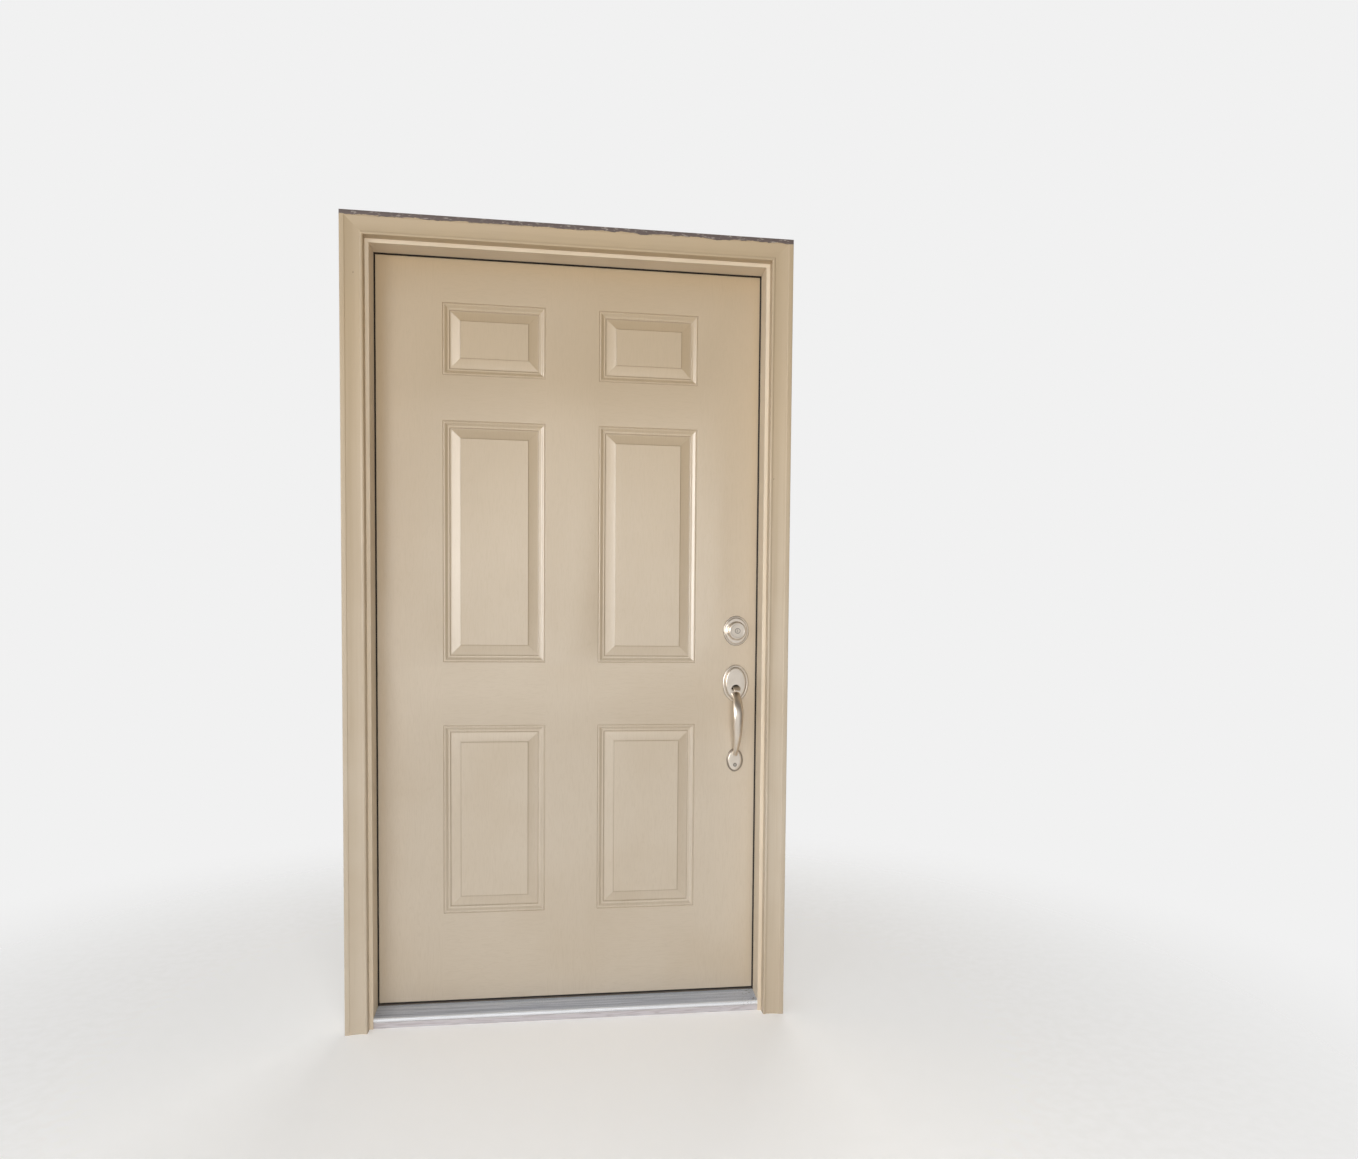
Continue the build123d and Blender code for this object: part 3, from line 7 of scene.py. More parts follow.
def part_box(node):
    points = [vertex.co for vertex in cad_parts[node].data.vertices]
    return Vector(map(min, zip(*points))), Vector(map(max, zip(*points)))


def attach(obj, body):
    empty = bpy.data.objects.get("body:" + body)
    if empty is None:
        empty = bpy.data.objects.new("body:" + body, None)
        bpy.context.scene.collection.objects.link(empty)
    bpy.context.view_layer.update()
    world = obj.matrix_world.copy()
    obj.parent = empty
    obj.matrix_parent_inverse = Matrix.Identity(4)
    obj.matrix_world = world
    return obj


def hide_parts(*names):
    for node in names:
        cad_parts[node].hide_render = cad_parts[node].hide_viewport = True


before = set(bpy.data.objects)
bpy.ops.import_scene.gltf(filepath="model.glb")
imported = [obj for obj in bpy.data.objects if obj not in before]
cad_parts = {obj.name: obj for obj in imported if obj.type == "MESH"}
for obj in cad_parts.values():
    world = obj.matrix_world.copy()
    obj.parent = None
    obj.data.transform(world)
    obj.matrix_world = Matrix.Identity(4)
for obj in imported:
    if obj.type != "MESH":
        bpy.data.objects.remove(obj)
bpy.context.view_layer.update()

# Panelled front door in its frame. Finer surfaces stand for the solid skins, casing and outside trim,
# the other solids keep their shape, and every piece gets its finish.
MM = 0.001
X, Y, Z = range(3)


def low_of(node, axis):
    """Lowest place of a solid along an axis, in millimetres."""
    return round(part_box(node)[0][axis] / MM, 2)


def high_of(node, axis):
    """Highest place of a solid along an axis, in millimetres."""
    return round(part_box(node)[1][axis] / MM, 2)


def middle_of(node, axis):
    """Middle of a solid along an axis, in millimetres."""
    return (low_of(node, axis) + high_of(node, axis)) / 2


def half_of(node, axis):
    """Half of a solid's size along an axis, in millimetres."""
    return (high_of(node, axis) - low_of(node, axis)) / 2


def linear(red, green, blue):
    """Linear colour from display values out of 255: the power curve that a screen applies, undone."""
    share = np.array((red, green, blue)) / 255
    curved = ((share + 0.055) / 1.055) ** 2.4
    return (*np.where(share <= 0.04045, share / 12.92, curved).tolist(), 1.0)


# Camera, placed and turned as the photograph was taken; angles in degrees, places in metres
IMAGE_WIDTH = 1358
IMAGE_HEIGHT = 1159
FOCAL_PIXELS = 947
OPTICAL_AXIS = (690.7, 666.0)
SENSOR_WIDTH = 36.0
CAMERA_PLACE = (-0.047, -2.578, 1.094)
CAMERA_YAW = 8.19
CAMERA_PITCH = -2.62
CAMERA_ROLL = 0.53
CAMERA_NEAREST = 0.01

# Room: linear colours, and the place in metres that the lamps are aimed at
DOOR_MIDDLE = Vector((0, 0.05, 1.1))
WHITE = (1, 1, 1, 1)
ROOM_PALE = (0.88, 0.88, 0.88, 1)
ROOM_SIDES = (0.15, 0.135, 0.12, 1)
SKY_LEFT = (1.76, 1.84, 1.94, 1)
SKY_RIGHT = (0.3, 0.22, 0.12, 1)
SKY_STRENGTH = 0.29

# Floor: its half size and where it thins out, in metres from the origin, and its faint glow
FLOOR_HALF = 9.0
FLOOR_CLEAR = 0.9
FLOOR_GONE = 2.6
FLOOR_LIFT = 0.22

# Slab, with its two skins, in millimetres
SLAB_HALF = high_of("skin_front", X)
SLAB_FRONT = low_of("skin_front", Y)
SLAB_BACK = high_of("skin_back", Y)
SLAB_BOTTOM = low_of("skin_front", Z)
SLAB_TOP = high_of("skin_front", Z)
SLAB_ROUND = 1.3
SKIN = 2.0
MORTISE_DEPTH = 2.5
HINGE_HEIGHT = 2 * half_of("hinge_door_leaf_middle", Z)
HINGE_PLACES = ("top", "middle", "bottom")
HINGE_BOTTOMS = [low_of(f"hinge_door_leaf_{place}", Z) for place in HINGE_PLACES]

# Panels: distance of their outer lines from the slab's middle, and each row's bottom and top
STILE = 185.5
MULLION = 144.0
PANEL_INNER = MULLION / 2
PANEL_OUTER = SLAB_HALF - STILE
PANEL_ROWS = ((285.0, 807.0), (980.0, 1634.0), (1754.0, 1947.0))

# Boards are numbered 1 to 6 on the panels, and these numbers are added on rails and by the side
RAIL_NUMBER = 9
SIDE_NUMBER = 3

# Panel moulding, in millimetres in from the outer line: eased steps with start, end and depth
QUIRK = (0.2, 1.4, 1.6)
LOW_BEAD = (2.4, 3.8, -1.3)
OGEE = (4.8, 14.4, 5.6)
FILLET = (17.2, 19.4, 2.3)
VALLEY = 21.0
BEVEL_START = 21.4
BEVEL_END = 46.4
BEVEL_RISE = 6.2
BEVEL_BEND = 0.2
FIELD_STEP = (BEVEL_END, 47.9, -1.3)
FIELD_START = 48.8

# Creases darkened as painted shade: inset of the middle, half width and amount
CREASES = ((1.3, 0.9, 0.8), (19.6, 1.2, 1.0), (47.2, 0.8, 0.9))

# How far the grain's map is shifted for each board's number, across and along the grain, in metres
GRAIN_SHIFT = (0.37, 1.7)

# Height over which the paint turns from cool to warm as painted shade towards the head, in millimetres
PAINT_SHADE_REACH = (500.0, 2100.0)

# Casing, in millimetres; its section is read outward from the inner edge
CASING_INNER = low_of("brickmould_right", X)
CASING_HEAD_INNER = low_of("brickmould_head", Z)
CASING_TOP = high_of("brickmould_head", Z)
CASING_WIDTH = CASING_TOP - CASING_HEAD_INNER
CASING_DEPTH = -low_of("brickmould_head", Y)
BEAD_HALF = 4.0
BEAD_BASE = 26.7
BEAD_RISE = 2.3
COVE_WIDTH = 36.0
COVE_RISE = 3.7
COVE_POWER = 1.8
COVE_SAG = 0.9
STEP_START = 44.2
STEP_WIDTH = 1.8
STEP_BASE = 30.6
FLAT_MIDDLE = 50.0
CORNER_ROUND = 1.6
DIMPLES = ((-557.1, 1977.3), (545.1, 1488.4))
DIMPLE_RADIUS = 2.2
DIMPLE_DEPTH = 1.0
DUST_REACH = (CASING_TOP - 4.75, CASING_TOP - 3.25)
DUST_RAGGED = 16.0

# Sill's finish, in millimetres: grime near its latch end, a paler deck near the slab, a painted highlight
# on its lip
GRIME_REACH = (440.0, 520.0)
NEAR_SLAB_REACH = (35.0, 66.0)
LIP_HIGHLIGHT_REACH = (3.5, 5.5)

# Locks, in millimetres
LOCK_X = middle_of("cylinder_plug", X)
DEADBOLT_Z = middle_of("cylinder_plug", Z)
LATCH_Z = middle_of("spindle", Z)
FOOT_SCREW_Z = middle_of("grip_screw", Z)
BORE_RADIUS = 27.0
BORE_ROOM = 31.0
SEAM_RINGS = ((DEADBOLT_Z, 7.0), (FOOT_SCREW_Z, 4.6))
SEAM_REACH = (0.3, 1.3)
# Tarnish and painted contact shade at the trim's feet: where it starts and ends
TARNISH_AND_SHADE_START = (-0.5, 0.0)
TARNISH_AND_SHADE_END = (3.2, 4.4)

# Plates of the outside trim, in millimetres: half sizes, openings and walls
ROSETTE_Z = middle_of("upper_rosette", Z)
ROSETTE_SIZE = (half_of("upper_rosette", X), half_of("upper_rosette", Z))
ROSETTE_WALL = 1.6
WINDOW_DEPTH = 3.0
DEADBOLT_SIZE = (half_of("deadbolt_rosette", X), half_of("deadbolt_rosette", Z))
DEADBOLT_OPENING = 18.4
DEADBOLT_WALL = 1.8
FOOT_SIZE = (23.5, 33.0)
FOOT_Z = low_of("pull_grip", Z) + FOOT_SIZE[1]
COUNTERSINK_RADIUS = 4.7
COUNTERSINK_DEPTH = 6.5
PLATE_CROWN = 0.35
LIP_DRAW = 0.35
LIP_SPAN = 13.0
LIP_DROP = 0.5

# Window of the thumb piece, in millimetres from the latch's axis
WINDOW_HALF = 13.5
WINDOW_FOOT = 9.0
WINDOW_TOP = -13.0
WINDOW_SHOULDER = -24.5
WINDOW_LOW = -30.5
WINDOW_MIDDLE = -22.0

# Grip: each station's distance out, distance down, half width and half depth, and the end slopes
GRIP_STATIONS = (
    (8.6, 0.0, 11.0, 7.7),
    (38.0, 17.0, 12.6, 8.0),
    (52.0, 51.0, 14.0, 8.0),
    (46.0, 100.0, 12.2, 8.0),
    (27.0, 144.0, 8.4, 6.0),
    (5.6, 170.0, 6.0, 5.0),
)
GRIP_LEAVING = (30.0, 11.0, 0.0, 0.0)
GRIP_LANDING = (-26.0, 20.0, -2.0, -1.0)
GRIP_TOP = 42.0
FLARE_TOP = 2.2
FLARE_FOOT = 1.6
FLARE_LENGTH = 0.012

# Thumb pad, in millimetres off the slab's face and from the latch's axis
THUMB_START = 9.9
THUMB_END = 31.3
THUMB_TOP = -18.6
THUMB_DROP = 9.6
THUMB_HALF = 9.2
THUMB_CROWN = 1.5
THUMB_SUNK = 1.6

# Thumb pad's powers, its tip's start, and at its end the share of thickness and of width squared
THUMB_BEND = 1.6
THUMB_SQUARE = 0.6
THUMB_THINNING = 8
THUMB_TIP = 0.72
THUMB_EDGE = 0.35
THUMB_BLUNT = 0.02

# How many points each curve is drawn with
MOULDING_POINTS = 53
BEVEL_POINTS = 9
SLAB_ROUND_POINTS = 5
BORE_QUARTER_POINTS = 13
CASING_BEAD_POINTS = 17
CASING_COVE_POINTS = 25
CASING_QUARTER_POINTS = 7
WINDOW_ARC_POINTS = 40
PLATE_POINTS = 96
PLATE_TOP_RINGS = 9
GRIP_POINTS = 48
GRIP_RINGS = 81
THUMB_POINTS = 40
THUMB_RINGS = 33

# Points closer than this are one, in millimetres; edges folded by more than this angle stay sharp
MERGE = 0.004
SHARP = 0.7
TINY = 1e-6

# Colours of the paint; the cool and warm ones are painted light towards the sill and painted shade towards
# the head
PAINT_WARM_SHADE = linear(194, 171, 138)
PAINT_COOL_LIGHT = linear(204, 189, 168)
PAINT_CLOUD = linear(188, 168, 140)
PAINT_GRAIN = linear(170, 150, 122)
PAINT_STREAK = linear(182, 160, 130)
# Partly painted light: the jambs' paler colour
PAINT_SHELTERED_AND_LIT = linear(240, 224, 200)

# Colours of dirt and wear, of painted shade in the creases and at the trim's feet, and of the dark dimples
CREASE_SHADE = linear(134, 110, 82)
DIMPLE_DARK = linear(120, 98, 76)
DUST_DARK = linear(104, 91, 86)
DUST_PALE = linear(160, 149, 140)
GRIME = linear(72, 60, 50)
BLOOM = linear(62, 54, 48)
TARNISH_AND_SHADE = linear(92, 78, 64)

# Colours of the sill's aluminium, tinted blue as a painted sky reflection, the slab's foam and the floor
ALUMINIUM_DARK = linear(172, 181, 198)
ALUMINIUM_PALE = linear(206, 213, 226)
ALUMINIUM_NEAR_SLAB = linear(232, 238, 246)
ALUMINIUM_LIP_HIGHLIGHT = linear(250, 252, 255)
FOAM_DARK = linear(190, 170, 110)
FOAM_PALE = linear(226, 210, 160)
FLOOR_DARK = linear(238, 236, 232)
FLOOR_PALE = linear(242, 240, 237)

# How far brush marks, brushing and growth bands are drawn out along x, y and z
EVEN = (1, 1, 1)
BRUSHED_LEVEL = (40, 1, 1)
BRUSHED_UPRIGHT = (1, 1, 40)
WOOD_LEVEL = (20, 1, 1)
WOOD_UPRIGHT = (1, 1, 20)
METAL_UPRIGHT = (1, 1, 12)
DUST_LEVEL = (3, 1, 1)

# Metals: clean colour, worn colour, roughness and brushing
METALS = {
    "satin_nickel": (linear(232, 222, 209), linear(226, 215, 201), 0.34, METAL_UPRIGHT),
    "hinge_steel": (linear(196, 190, 180), linear(168, 160, 148), 0.34, METAL_UPRIGHT),
    "lock_steel": (linear(190, 190, 190), linear(160, 160, 162), 0.32, METAL_UPRIGHT),
    "screw_steel": (linear(186, 180, 170), linear(150, 144, 134), 0.36, EVEN),
}

# Woods: early colour, late colour and the way of the board
WOODS = {
    "core_wood": (linear(214, 180, 130), linear(180, 138, 88), WOOD_UPRIGHT),
    "sill_wood": (linear(206, 200, 202), linear(184, 175, 176), WOOD_LEVEL),
}

# Seals and vinyl: colour and roughness
SEALS = {
    "cap_vinyl": (linear(96, 88, 80), 0.6),
    "weatherstrip": (linear(26, 18, 12), 0.7),
    "sweep_vinyl": (linear(38, 34, 32), 0.6),
}


# Shading


def add_node(tree, kind, values=None, **settings):
    """Add a node with its settings and the values of its unlinked inputs."""
    node = tree.nodes.new(kind)
    for name, value in settings.items():
        setattr(node, name, value)
    for name, value in (values or {}).items():
        node.inputs[name].default_value = value
    return node


def fill(tree, socket, value):
    """Link an input to a socket, or set it to a plain value."""
    if isinstance(value, bpy.types.NodeSocket):
        tree.links.new(value, socket)
    else:
        socket.default_value = value


def combine(tree, operation, first, second=0.0):
    """One arithmetic step on sockets or numbers."""
    node = add_node(tree, "ShaderNodeMath", operation=operation)
    fill(tree, node.inputs[0], first)
    fill(tree, node.inputs[1], second)
    return node.outputs[0]


def remap(tree, value, low, high, start=0.0, end=1.0):
    """Value brought smoothly from low..high to start..end and held there."""
    node = add_node(
        tree,
        "ShaderNodeMapRange",
        {"From Min": low, "From Max": high, "To Min": start, "To Max": end},
        interpolation_type="SMOOTHSTEP",
    )
    tree.links.new(value, node.inputs["Value"])
    return node.outputs["Result"]


def over_reach(tree, distance, reach, start=0.0, end=1.0):
    """Value brought smoothly from start to end as a distance in metres crosses a reach in millimetres."""
    return remap(tree, distance, reach[0] * MM, reach[1] * MM, start, end)


def mixed(tree, factor, first, second):
    """Colour between two colours or sockets by a factor socket."""
    node = add_node(tree, "ShaderNodeMix", data_type="RGBA")
    tree.links.new(factor, node.inputs["Factor"])
    fill(tree, node.inputs[6], first)
    fill(tree, node.inputs[7], second)
    return node.outputs[2]


def noise(tree, vector, scale, stretch=EVEN, detail=3.0, rough=0.5, twist=0.0):
    """Cloudy noise from 0 to 1, with cells of 1/scale metres drawn out along each axis by its stretch."""
    mapping = add_node(tree, "ShaderNodeMapping", {"Scale": [scale / s for s in stretch]})
    tree.links.new(vector, mapping.inputs["Vector"])
    cloud = add_node(
        tree,
        "ShaderNodeTexNoise",
        {"Scale": 1.0, "Detail": detail, "Roughness": rough, "Distortion": twist},
    )
    tree.links.new(mapping.outputs[0], cloud.inputs["Vector"])
    return cloud.outputs["Fac"]


def object_space(tree):
    """The piece's own coordinates in metres, and their three parts by the name of the axis."""
    vector = add_node(tree, "ShaderNodeTexCoord").outputs["Object"]
    split = add_node(tree, "ShaderNodeSeparateXYZ")
    tree.links.new(vector, split.inputs[0])
    return vector, split.outputs


def front_distance(tree, x, z):
    """Distance in metres, in the front view, from a place in millimetres."""
    axes = object_space(tree)[1]
    flat = add_node(tree, "ShaderNodeCombineXYZ")
    tree.links.new(axes["X"], flat.inputs["X"])
    tree.links.new(axes["Z"], flat.inputs["Z"])
    away = add_node(tree, "ShaderNodeVectorMath", operation="DISTANCE")
    away.inputs[1].default_value = (x * MM, 0, z * MM)
    tree.links.new(flat.outputs[0], away.inputs[0])
    return away.outputs["Value"]


def relief(tree, shader, layers, below=None):
    """Bump layers on top of each other, each a height socket with its depth in millimetres."""
    for height, depth in layers:
        bump = add_node(tree, "ShaderNodeBump", {"Distance": depth * MM, "Strength": 1.0})
        tree.links.new(height, bump.inputs["Height"])
        if below:
            tree.links.new(below, bump.inputs["Normal"])
        below = bump.outputs["Normal"]
    tree.links.new(below, shader.inputs["Normal"])


FINISHES = {}


def finish_of(name, values=None):
    """Start a finish under its name: its node tree, and its shader with the constant values set."""
    material = bpy.data.materials.new(name)
    material.use_nodes = True
    FINISHES[name] = material
    tree = material.node_tree
    shader = tree.nodes["Principled BSDF"]
    for key, value in (values or {}).items():
        shader.inputs[key].default_value = value
    return tree, shader


# Finishes


def aged_and_shaded_paint(tree, deeper=1.0):
    """Exterior paint in soft clouds, with painted shade making it warmer and darker towards the head and
    painted light making it paler towards the sill.
    """
    vector, axes = object_space(tree)
    # Painted shade: the colour turns from cool and pale at the sill to warm and dark at the head
    shaded_by_height = mixed(tree, over_reach(tree, axes["Z"], PAINT_SHADE_REACH), PAINT_COOL_LIGHT, PAINT_WARM_SHADE)
    clouds = remap(tree, noise(tree, vector, scale=3.0, detail=5.0), 0.35, 0.7, 0.0, 0.35 * deeper)
    return mixed(tree, clouds, shaded_by_height, PAINT_CLOUD)


def door_paint():
    """Satin paint on the embossed skins: long fine wood grain along each stile, rail and panel."""
    satin = {"Coat Weight": 1.0, "Coat Roughness": 0.22, "Coat IOR": 1.6}
    tree, shader = finish_of("door_paint", satin)
    vector = object_space(tree)[0]
    along = add_node(tree, "ShaderNodeUVMap", uv_map="grain").outputs[0]
    pores = noise(tree, along, scale=900, stretch=(1, 45, 1), detail=2.0, rough=0.6)
    bands = noise(tree, along, scale=60, stretch=(1, 14, 1), detail=3.0, rough=0.55, twist=0.4)
    rings = combine(tree, "SINE", combine(tree, "MULTIPLY", bands, 70.0))
    grain = remap(tree, pores, 0.52, 0.72)
    arches = remap(tree, rings, 0.2, 1.0)
    shade = combine(tree, "MULTIPLY", combine(tree, "ADD", grain, arches), 0.10)
    grained = mixed(tree, shade, aged_and_shaded_paint(tree), PAINT_GRAIN)
    # Painted shade: the moulding's creases darkened by the crease mark
    crease = add_node(tree, "ShaderNodeAttribute", attribute_name="crease").outputs["Fac"]
    darkening = combine(tree, "MULTIPLY", crease, 0.5)
    tree.links.new(mixed(tree, darkening, grained, CREASE_SHADE), shader.inputs["Base Color"])
    gloss = remap(tree, noise(tree, vector, scale=14, detail=4.0), 0.3, 0.7, 0.38, 0.46)
    tree.links.new(gloss, shader.inputs["Roughness"])
    peel = noise(tree, vector, scale=500, detail=2.0)
    relief(tree, shader, [(peel, 0.012), (grain, -0.04), (arches, -0.03)])


def brushed_paint(name, stretch):
    """Brushed exterior paint on timber, its brush marks drawn out along the board."""
    tree, shader = finish_of(name)
    vector = object_space(tree)[0]
    marks = noise(tree, vector, scale=500, stretch=stretch, rough=0.6)
    soft_marks = noise(tree, vector, scale=90, stretch=stretch, rough=0.6)
    streaks = remap(tree, soft_marks, 0.45, 0.75, 0.0, 0.3)
    colour = mixed(tree, streaks, aged_and_shaded_paint(tree, deeper=1.3), PAINT_STREAK)
    gloss = remap(tree, soft_marks, 0.3, 0.7, 0.42, 0.56)
    tree.links.new(gloss, shader.inputs["Roughness"])
    relief(tree, shader, [(marks, 0.06), (soft_marks, 0.08)])
    return tree, shader, colour


def jamb_paint(name, stretch):
    """Brushed paint of the jambs, paler than the casing: partly paint that the casing shelters from
    weather, partly painted light on the jambs' faces.
    """
    tree, shader, colour = brushed_paint(name, stretch)
    vector = object_space(tree)[0]
    # Partly painted light: the jambs lightened towards a paler colour
    sheltered_and_lit = remap(tree, noise(tree, vector, scale=5.0), 0.2, 0.8, 0.55, 0.75)
    tree.links.new(mixed(tree, sheltered_and_lit, colour, PAINT_SHELTERED_AND_LIT), shader.inputs["Base Color"])


def casing_paint(name, stretch):
    """Brushed paint of the casing, with two nail dimples and old mortar dust along its top edge."""
    tree, shader, colour = brushed_paint(name, stretch)
    vector, axes = object_space(tree)
    hollows = 0.0
    for x, z in DIMPLES:
        hollow = over_reach(tree, front_distance(tree, x, z), (0.0, DIMPLE_RADIUS), 1.0, 0.0)
        # Darker in each nail dimple
        colour = mixed(tree, hollow, colour, DIMPLE_DARK)
        hollows = combine(tree, "MAXIMUM", hollow, hollows)
    shreds = noise(tree, vector, scale=60, stretch=DUST_LEVEL, detail=5.0, rough=0.7)
    edge = combine(tree, "ADD", axes["Z"], combine(tree, "MULTIPLY", shreds, DUST_RAGGED * MM))
    specks = noise(tree, vector, scale=160, stretch=DUST_LEVEL, detail=4.0, rough=0.7)
    dust = mixed(tree, remap(tree, specks, 0.55, 0.62), DUST_DARK, DUST_PALE)
    dusted = mixed(tree, over_reach(tree, edge, DUST_REACH), colour, dust)
    tree.links.new(dusted, shader.inputs["Base Color"])
    brushed = shader.inputs["Normal"].links[0].from_socket
    relief(tree, shader, [(hollows, -DIMPLE_DEPTH)], brushed)


def sill_aluminium():
    """Mill-finished extrusion tinted blue as a painted sky reflection: lengthwise streaks, paler near the
    slab, a painted highlight on its lip, grime at one end.
    """
    tree, shader = finish_of("sill_aluminium", {"Metallic": 0.35})
    vector, axes = object_space(tree)
    streaks = noise(tree, vector, scale=700, stretch=(160, 1, 1), rough=0.65)
    broad = noise(tree, vector, scale=120, stretch=(60, 1, 1), rough=0.6)
    # Paler towards the slab
    near_slab = over_reach(tree, axes["Y"], NEAR_SLAB_REACH, 0.0, 0.6)
    # Painted highlight: the lip's nose turned near-white
    lip_highlight = over_reach(tree, axes["Y"], LIP_HIGHLIGHT_REACH, 0.9, 0.0)
    # Painted reflection: the deck's blue tint stands for reflected sky
    tone = mixed(tree, remap(tree, broad, 0.35, 0.65), ALUMINIUM_DARK, ALUMINIUM_PALE)
    tone = mixed(tree, near_slab, tone, ALUMINIUM_NEAR_SLAB)
    tone = mixed(tree, lip_highlight, tone, ALUMINIUM_LIP_HIGHLIGHT)
    patches = remap(tree, noise(tree, vector, scale=150, detail=5.0, rough=0.7), 0.55, 0.66)
    grime = combine(tree, "MULTIPLY", over_reach(tree, axes["X"], GRIME_REACH), patches)
    tree.links.new(mixed(tree, grime, tone, GRIME), shader.inputs["Base Color"])
    tree.links.new(remap(tree, streaks, 0.3, 0.7, 0.24, 0.4), shader.inputs["Roughness"])
    relief(tree, shader, [(streaks, 0.04)])


def dark_seal(name, colour, roughness):
    """Foam or vinyl seal: a fine matt skin with a faint bloom."""
    tree, shader = finish_of(name, {"Roughness": roughness})
    vector = object_space(tree)[0]
    bloom = remap(tree, noise(tree, vector, scale=40, detail=5.0, rough=0.65), 0.45, 0.75, 0.0, 0.35)
    tree.links.new(mixed(tree, bloom, colour, BLOOM), shader.inputs["Base Color"])
    relief(tree, shader, [(noise(tree, vector, scale=1500, detail=2.0), 0.05)])


def foot_tarnish_and_shade(tree):
    """Tarnish and painted contact shade on the lowest few millimetres of what stands on the slab's faces,
    none between them.
    """
    y = object_space(tree)[1]["Y"]
    ahead = combine(tree, "SUBTRACT", SLAB_FRONT * MM, y)
    off = combine(tree, "MAXIMUM", ahead, combine(tree, "SUBTRACT", y, SLAB_BACK * MM))
    outside = over_reach(tree, off, TARNISH_AND_SHADE_START)
    low_down = over_reach(tree, off, TARNISH_AND_SHADE_END, 1.0, 0.0)
    return combine(tree, "MULTIPLY", combine(tree, "MULTIPLY", outside, low_down), 0.75)


def seams(tree):
    """Dark rings where the key plug and the grip's screw meet the metal round them, outside only."""
    outside = over_reach(tree, object_space(tree)[1]["Y"], (SLAB_FRONT, SLAB_BACK), 1.0, 0.0)
    rings = 0.0
    for z, radius in SEAM_RINGS:
        off_ring = combine(tree, "SUBTRACT", front_distance(tree, LOCK_X, z), radius * MM)
        dark = over_reach(tree, combine(tree, "ABSOLUTE", off_ring), SEAM_REACH, 0.85, 0.0)
        rings = combine(tree, "MAXIMUM", dark, rings)
    return combine(tree, "MULTIPLY", rings, outside)


def metal(name, colour, worn, roughness, stretch):
    """Metal with fine brushing along one axis, soft clouds of wear, tarnish and painted contact shade at
    its feet, and dark seams.
    """
    tree, shader = finish_of(name, {"Metallic": 1.0})
    vector = object_space(tree)[0]
    clouds = noise(tree, vector, scale=60, detail=4.0, rough=0.6)
    clean = mixed(tree, remap(tree, clouds, 0.35, 0.7, 0.0, 0.6), colour, worn)
    # Partly painted shade: tarnish and contact shade at the feet, with dark seam rings
    darkening = combine(tree, "MAXIMUM", foot_tarnish_and_shade(tree), seams(tree))
    tree.links.new(mixed(tree, darkening, clean, TARNISH_AND_SHADE), shader.inputs["Base Color"])
    uneven = remap(tree, clouds, 0.3, 0.7, roughness - 0.03, roughness + 0.04)
    tree.links.new(uneven, shader.inputs["Roughness"])
    brushing = noise(tree, vector, scale=2500, stretch=stretch, detail=2.0, rough=0.6)
    relief(tree, shader, [(brushing, 0.002)])


def raw_wood(name, early, late, stretch):
    """Softwood with long early and late growth bands along the board."""
    tree, shader = finish_of(name, {"Roughness": 0.75})
    vector = object_space(tree)[0]
    bands = noise(tree, vector, scale=70, stretch=stretch, twist=0.3)
    rings = combine(tree, "SINE", combine(tree, "MULTIPLY", bands, 60.0))
    growth = remap(tree, rings, -0.2, 1.0, 0.0, 0.8)
    tree.links.new(mixed(tree, growth, early, late), shader.inputs["Base Color"])
    fibres = noise(tree, vector, scale=1200, stretch=stretch, detail=2.0)
    relief(tree, shader, [(fibres, 0.1)])


def cell_foam():
    """Poured insulating foam with open cells."""
    tree, shader = finish_of("foam", {"Roughness": 0.9})
    cells = add_node(tree, "ShaderNodeTexVoronoi", {"Scale": 900.0})
    tree.links.new(object_space(tree)[0], cells.inputs["Vector"])
    hollow = remap(tree, cells.outputs["Distance"], 0.1, 0.6)
    tree.links.new(mixed(tree, hollow, FOAM_DARK, FOAM_PALE), shader.inputs["Base Color"])
    relief(tree, shader, [(hollow, 0.3)])


door_paint()
jamb_paint("edge_paint", BRUSHED_UPRIGHT)
jamb_paint("jamb_paint_upright", BRUSHED_UPRIGHT)
jamb_paint("jamb_paint_level", BRUSHED_LEVEL)
casing_paint("casing_paint_upright", BRUSHED_UPRIGHT)
casing_paint("casing_paint_level", BRUSHED_LEVEL)
sill_aluminium()
cell_foam()
for name, values in SEALS.items():
    dark_seal(name, *values)
for name, values in WOODS.items():
    raw_wood(name, *values)
for name, values in METALS.items():
    metal(name, *values)

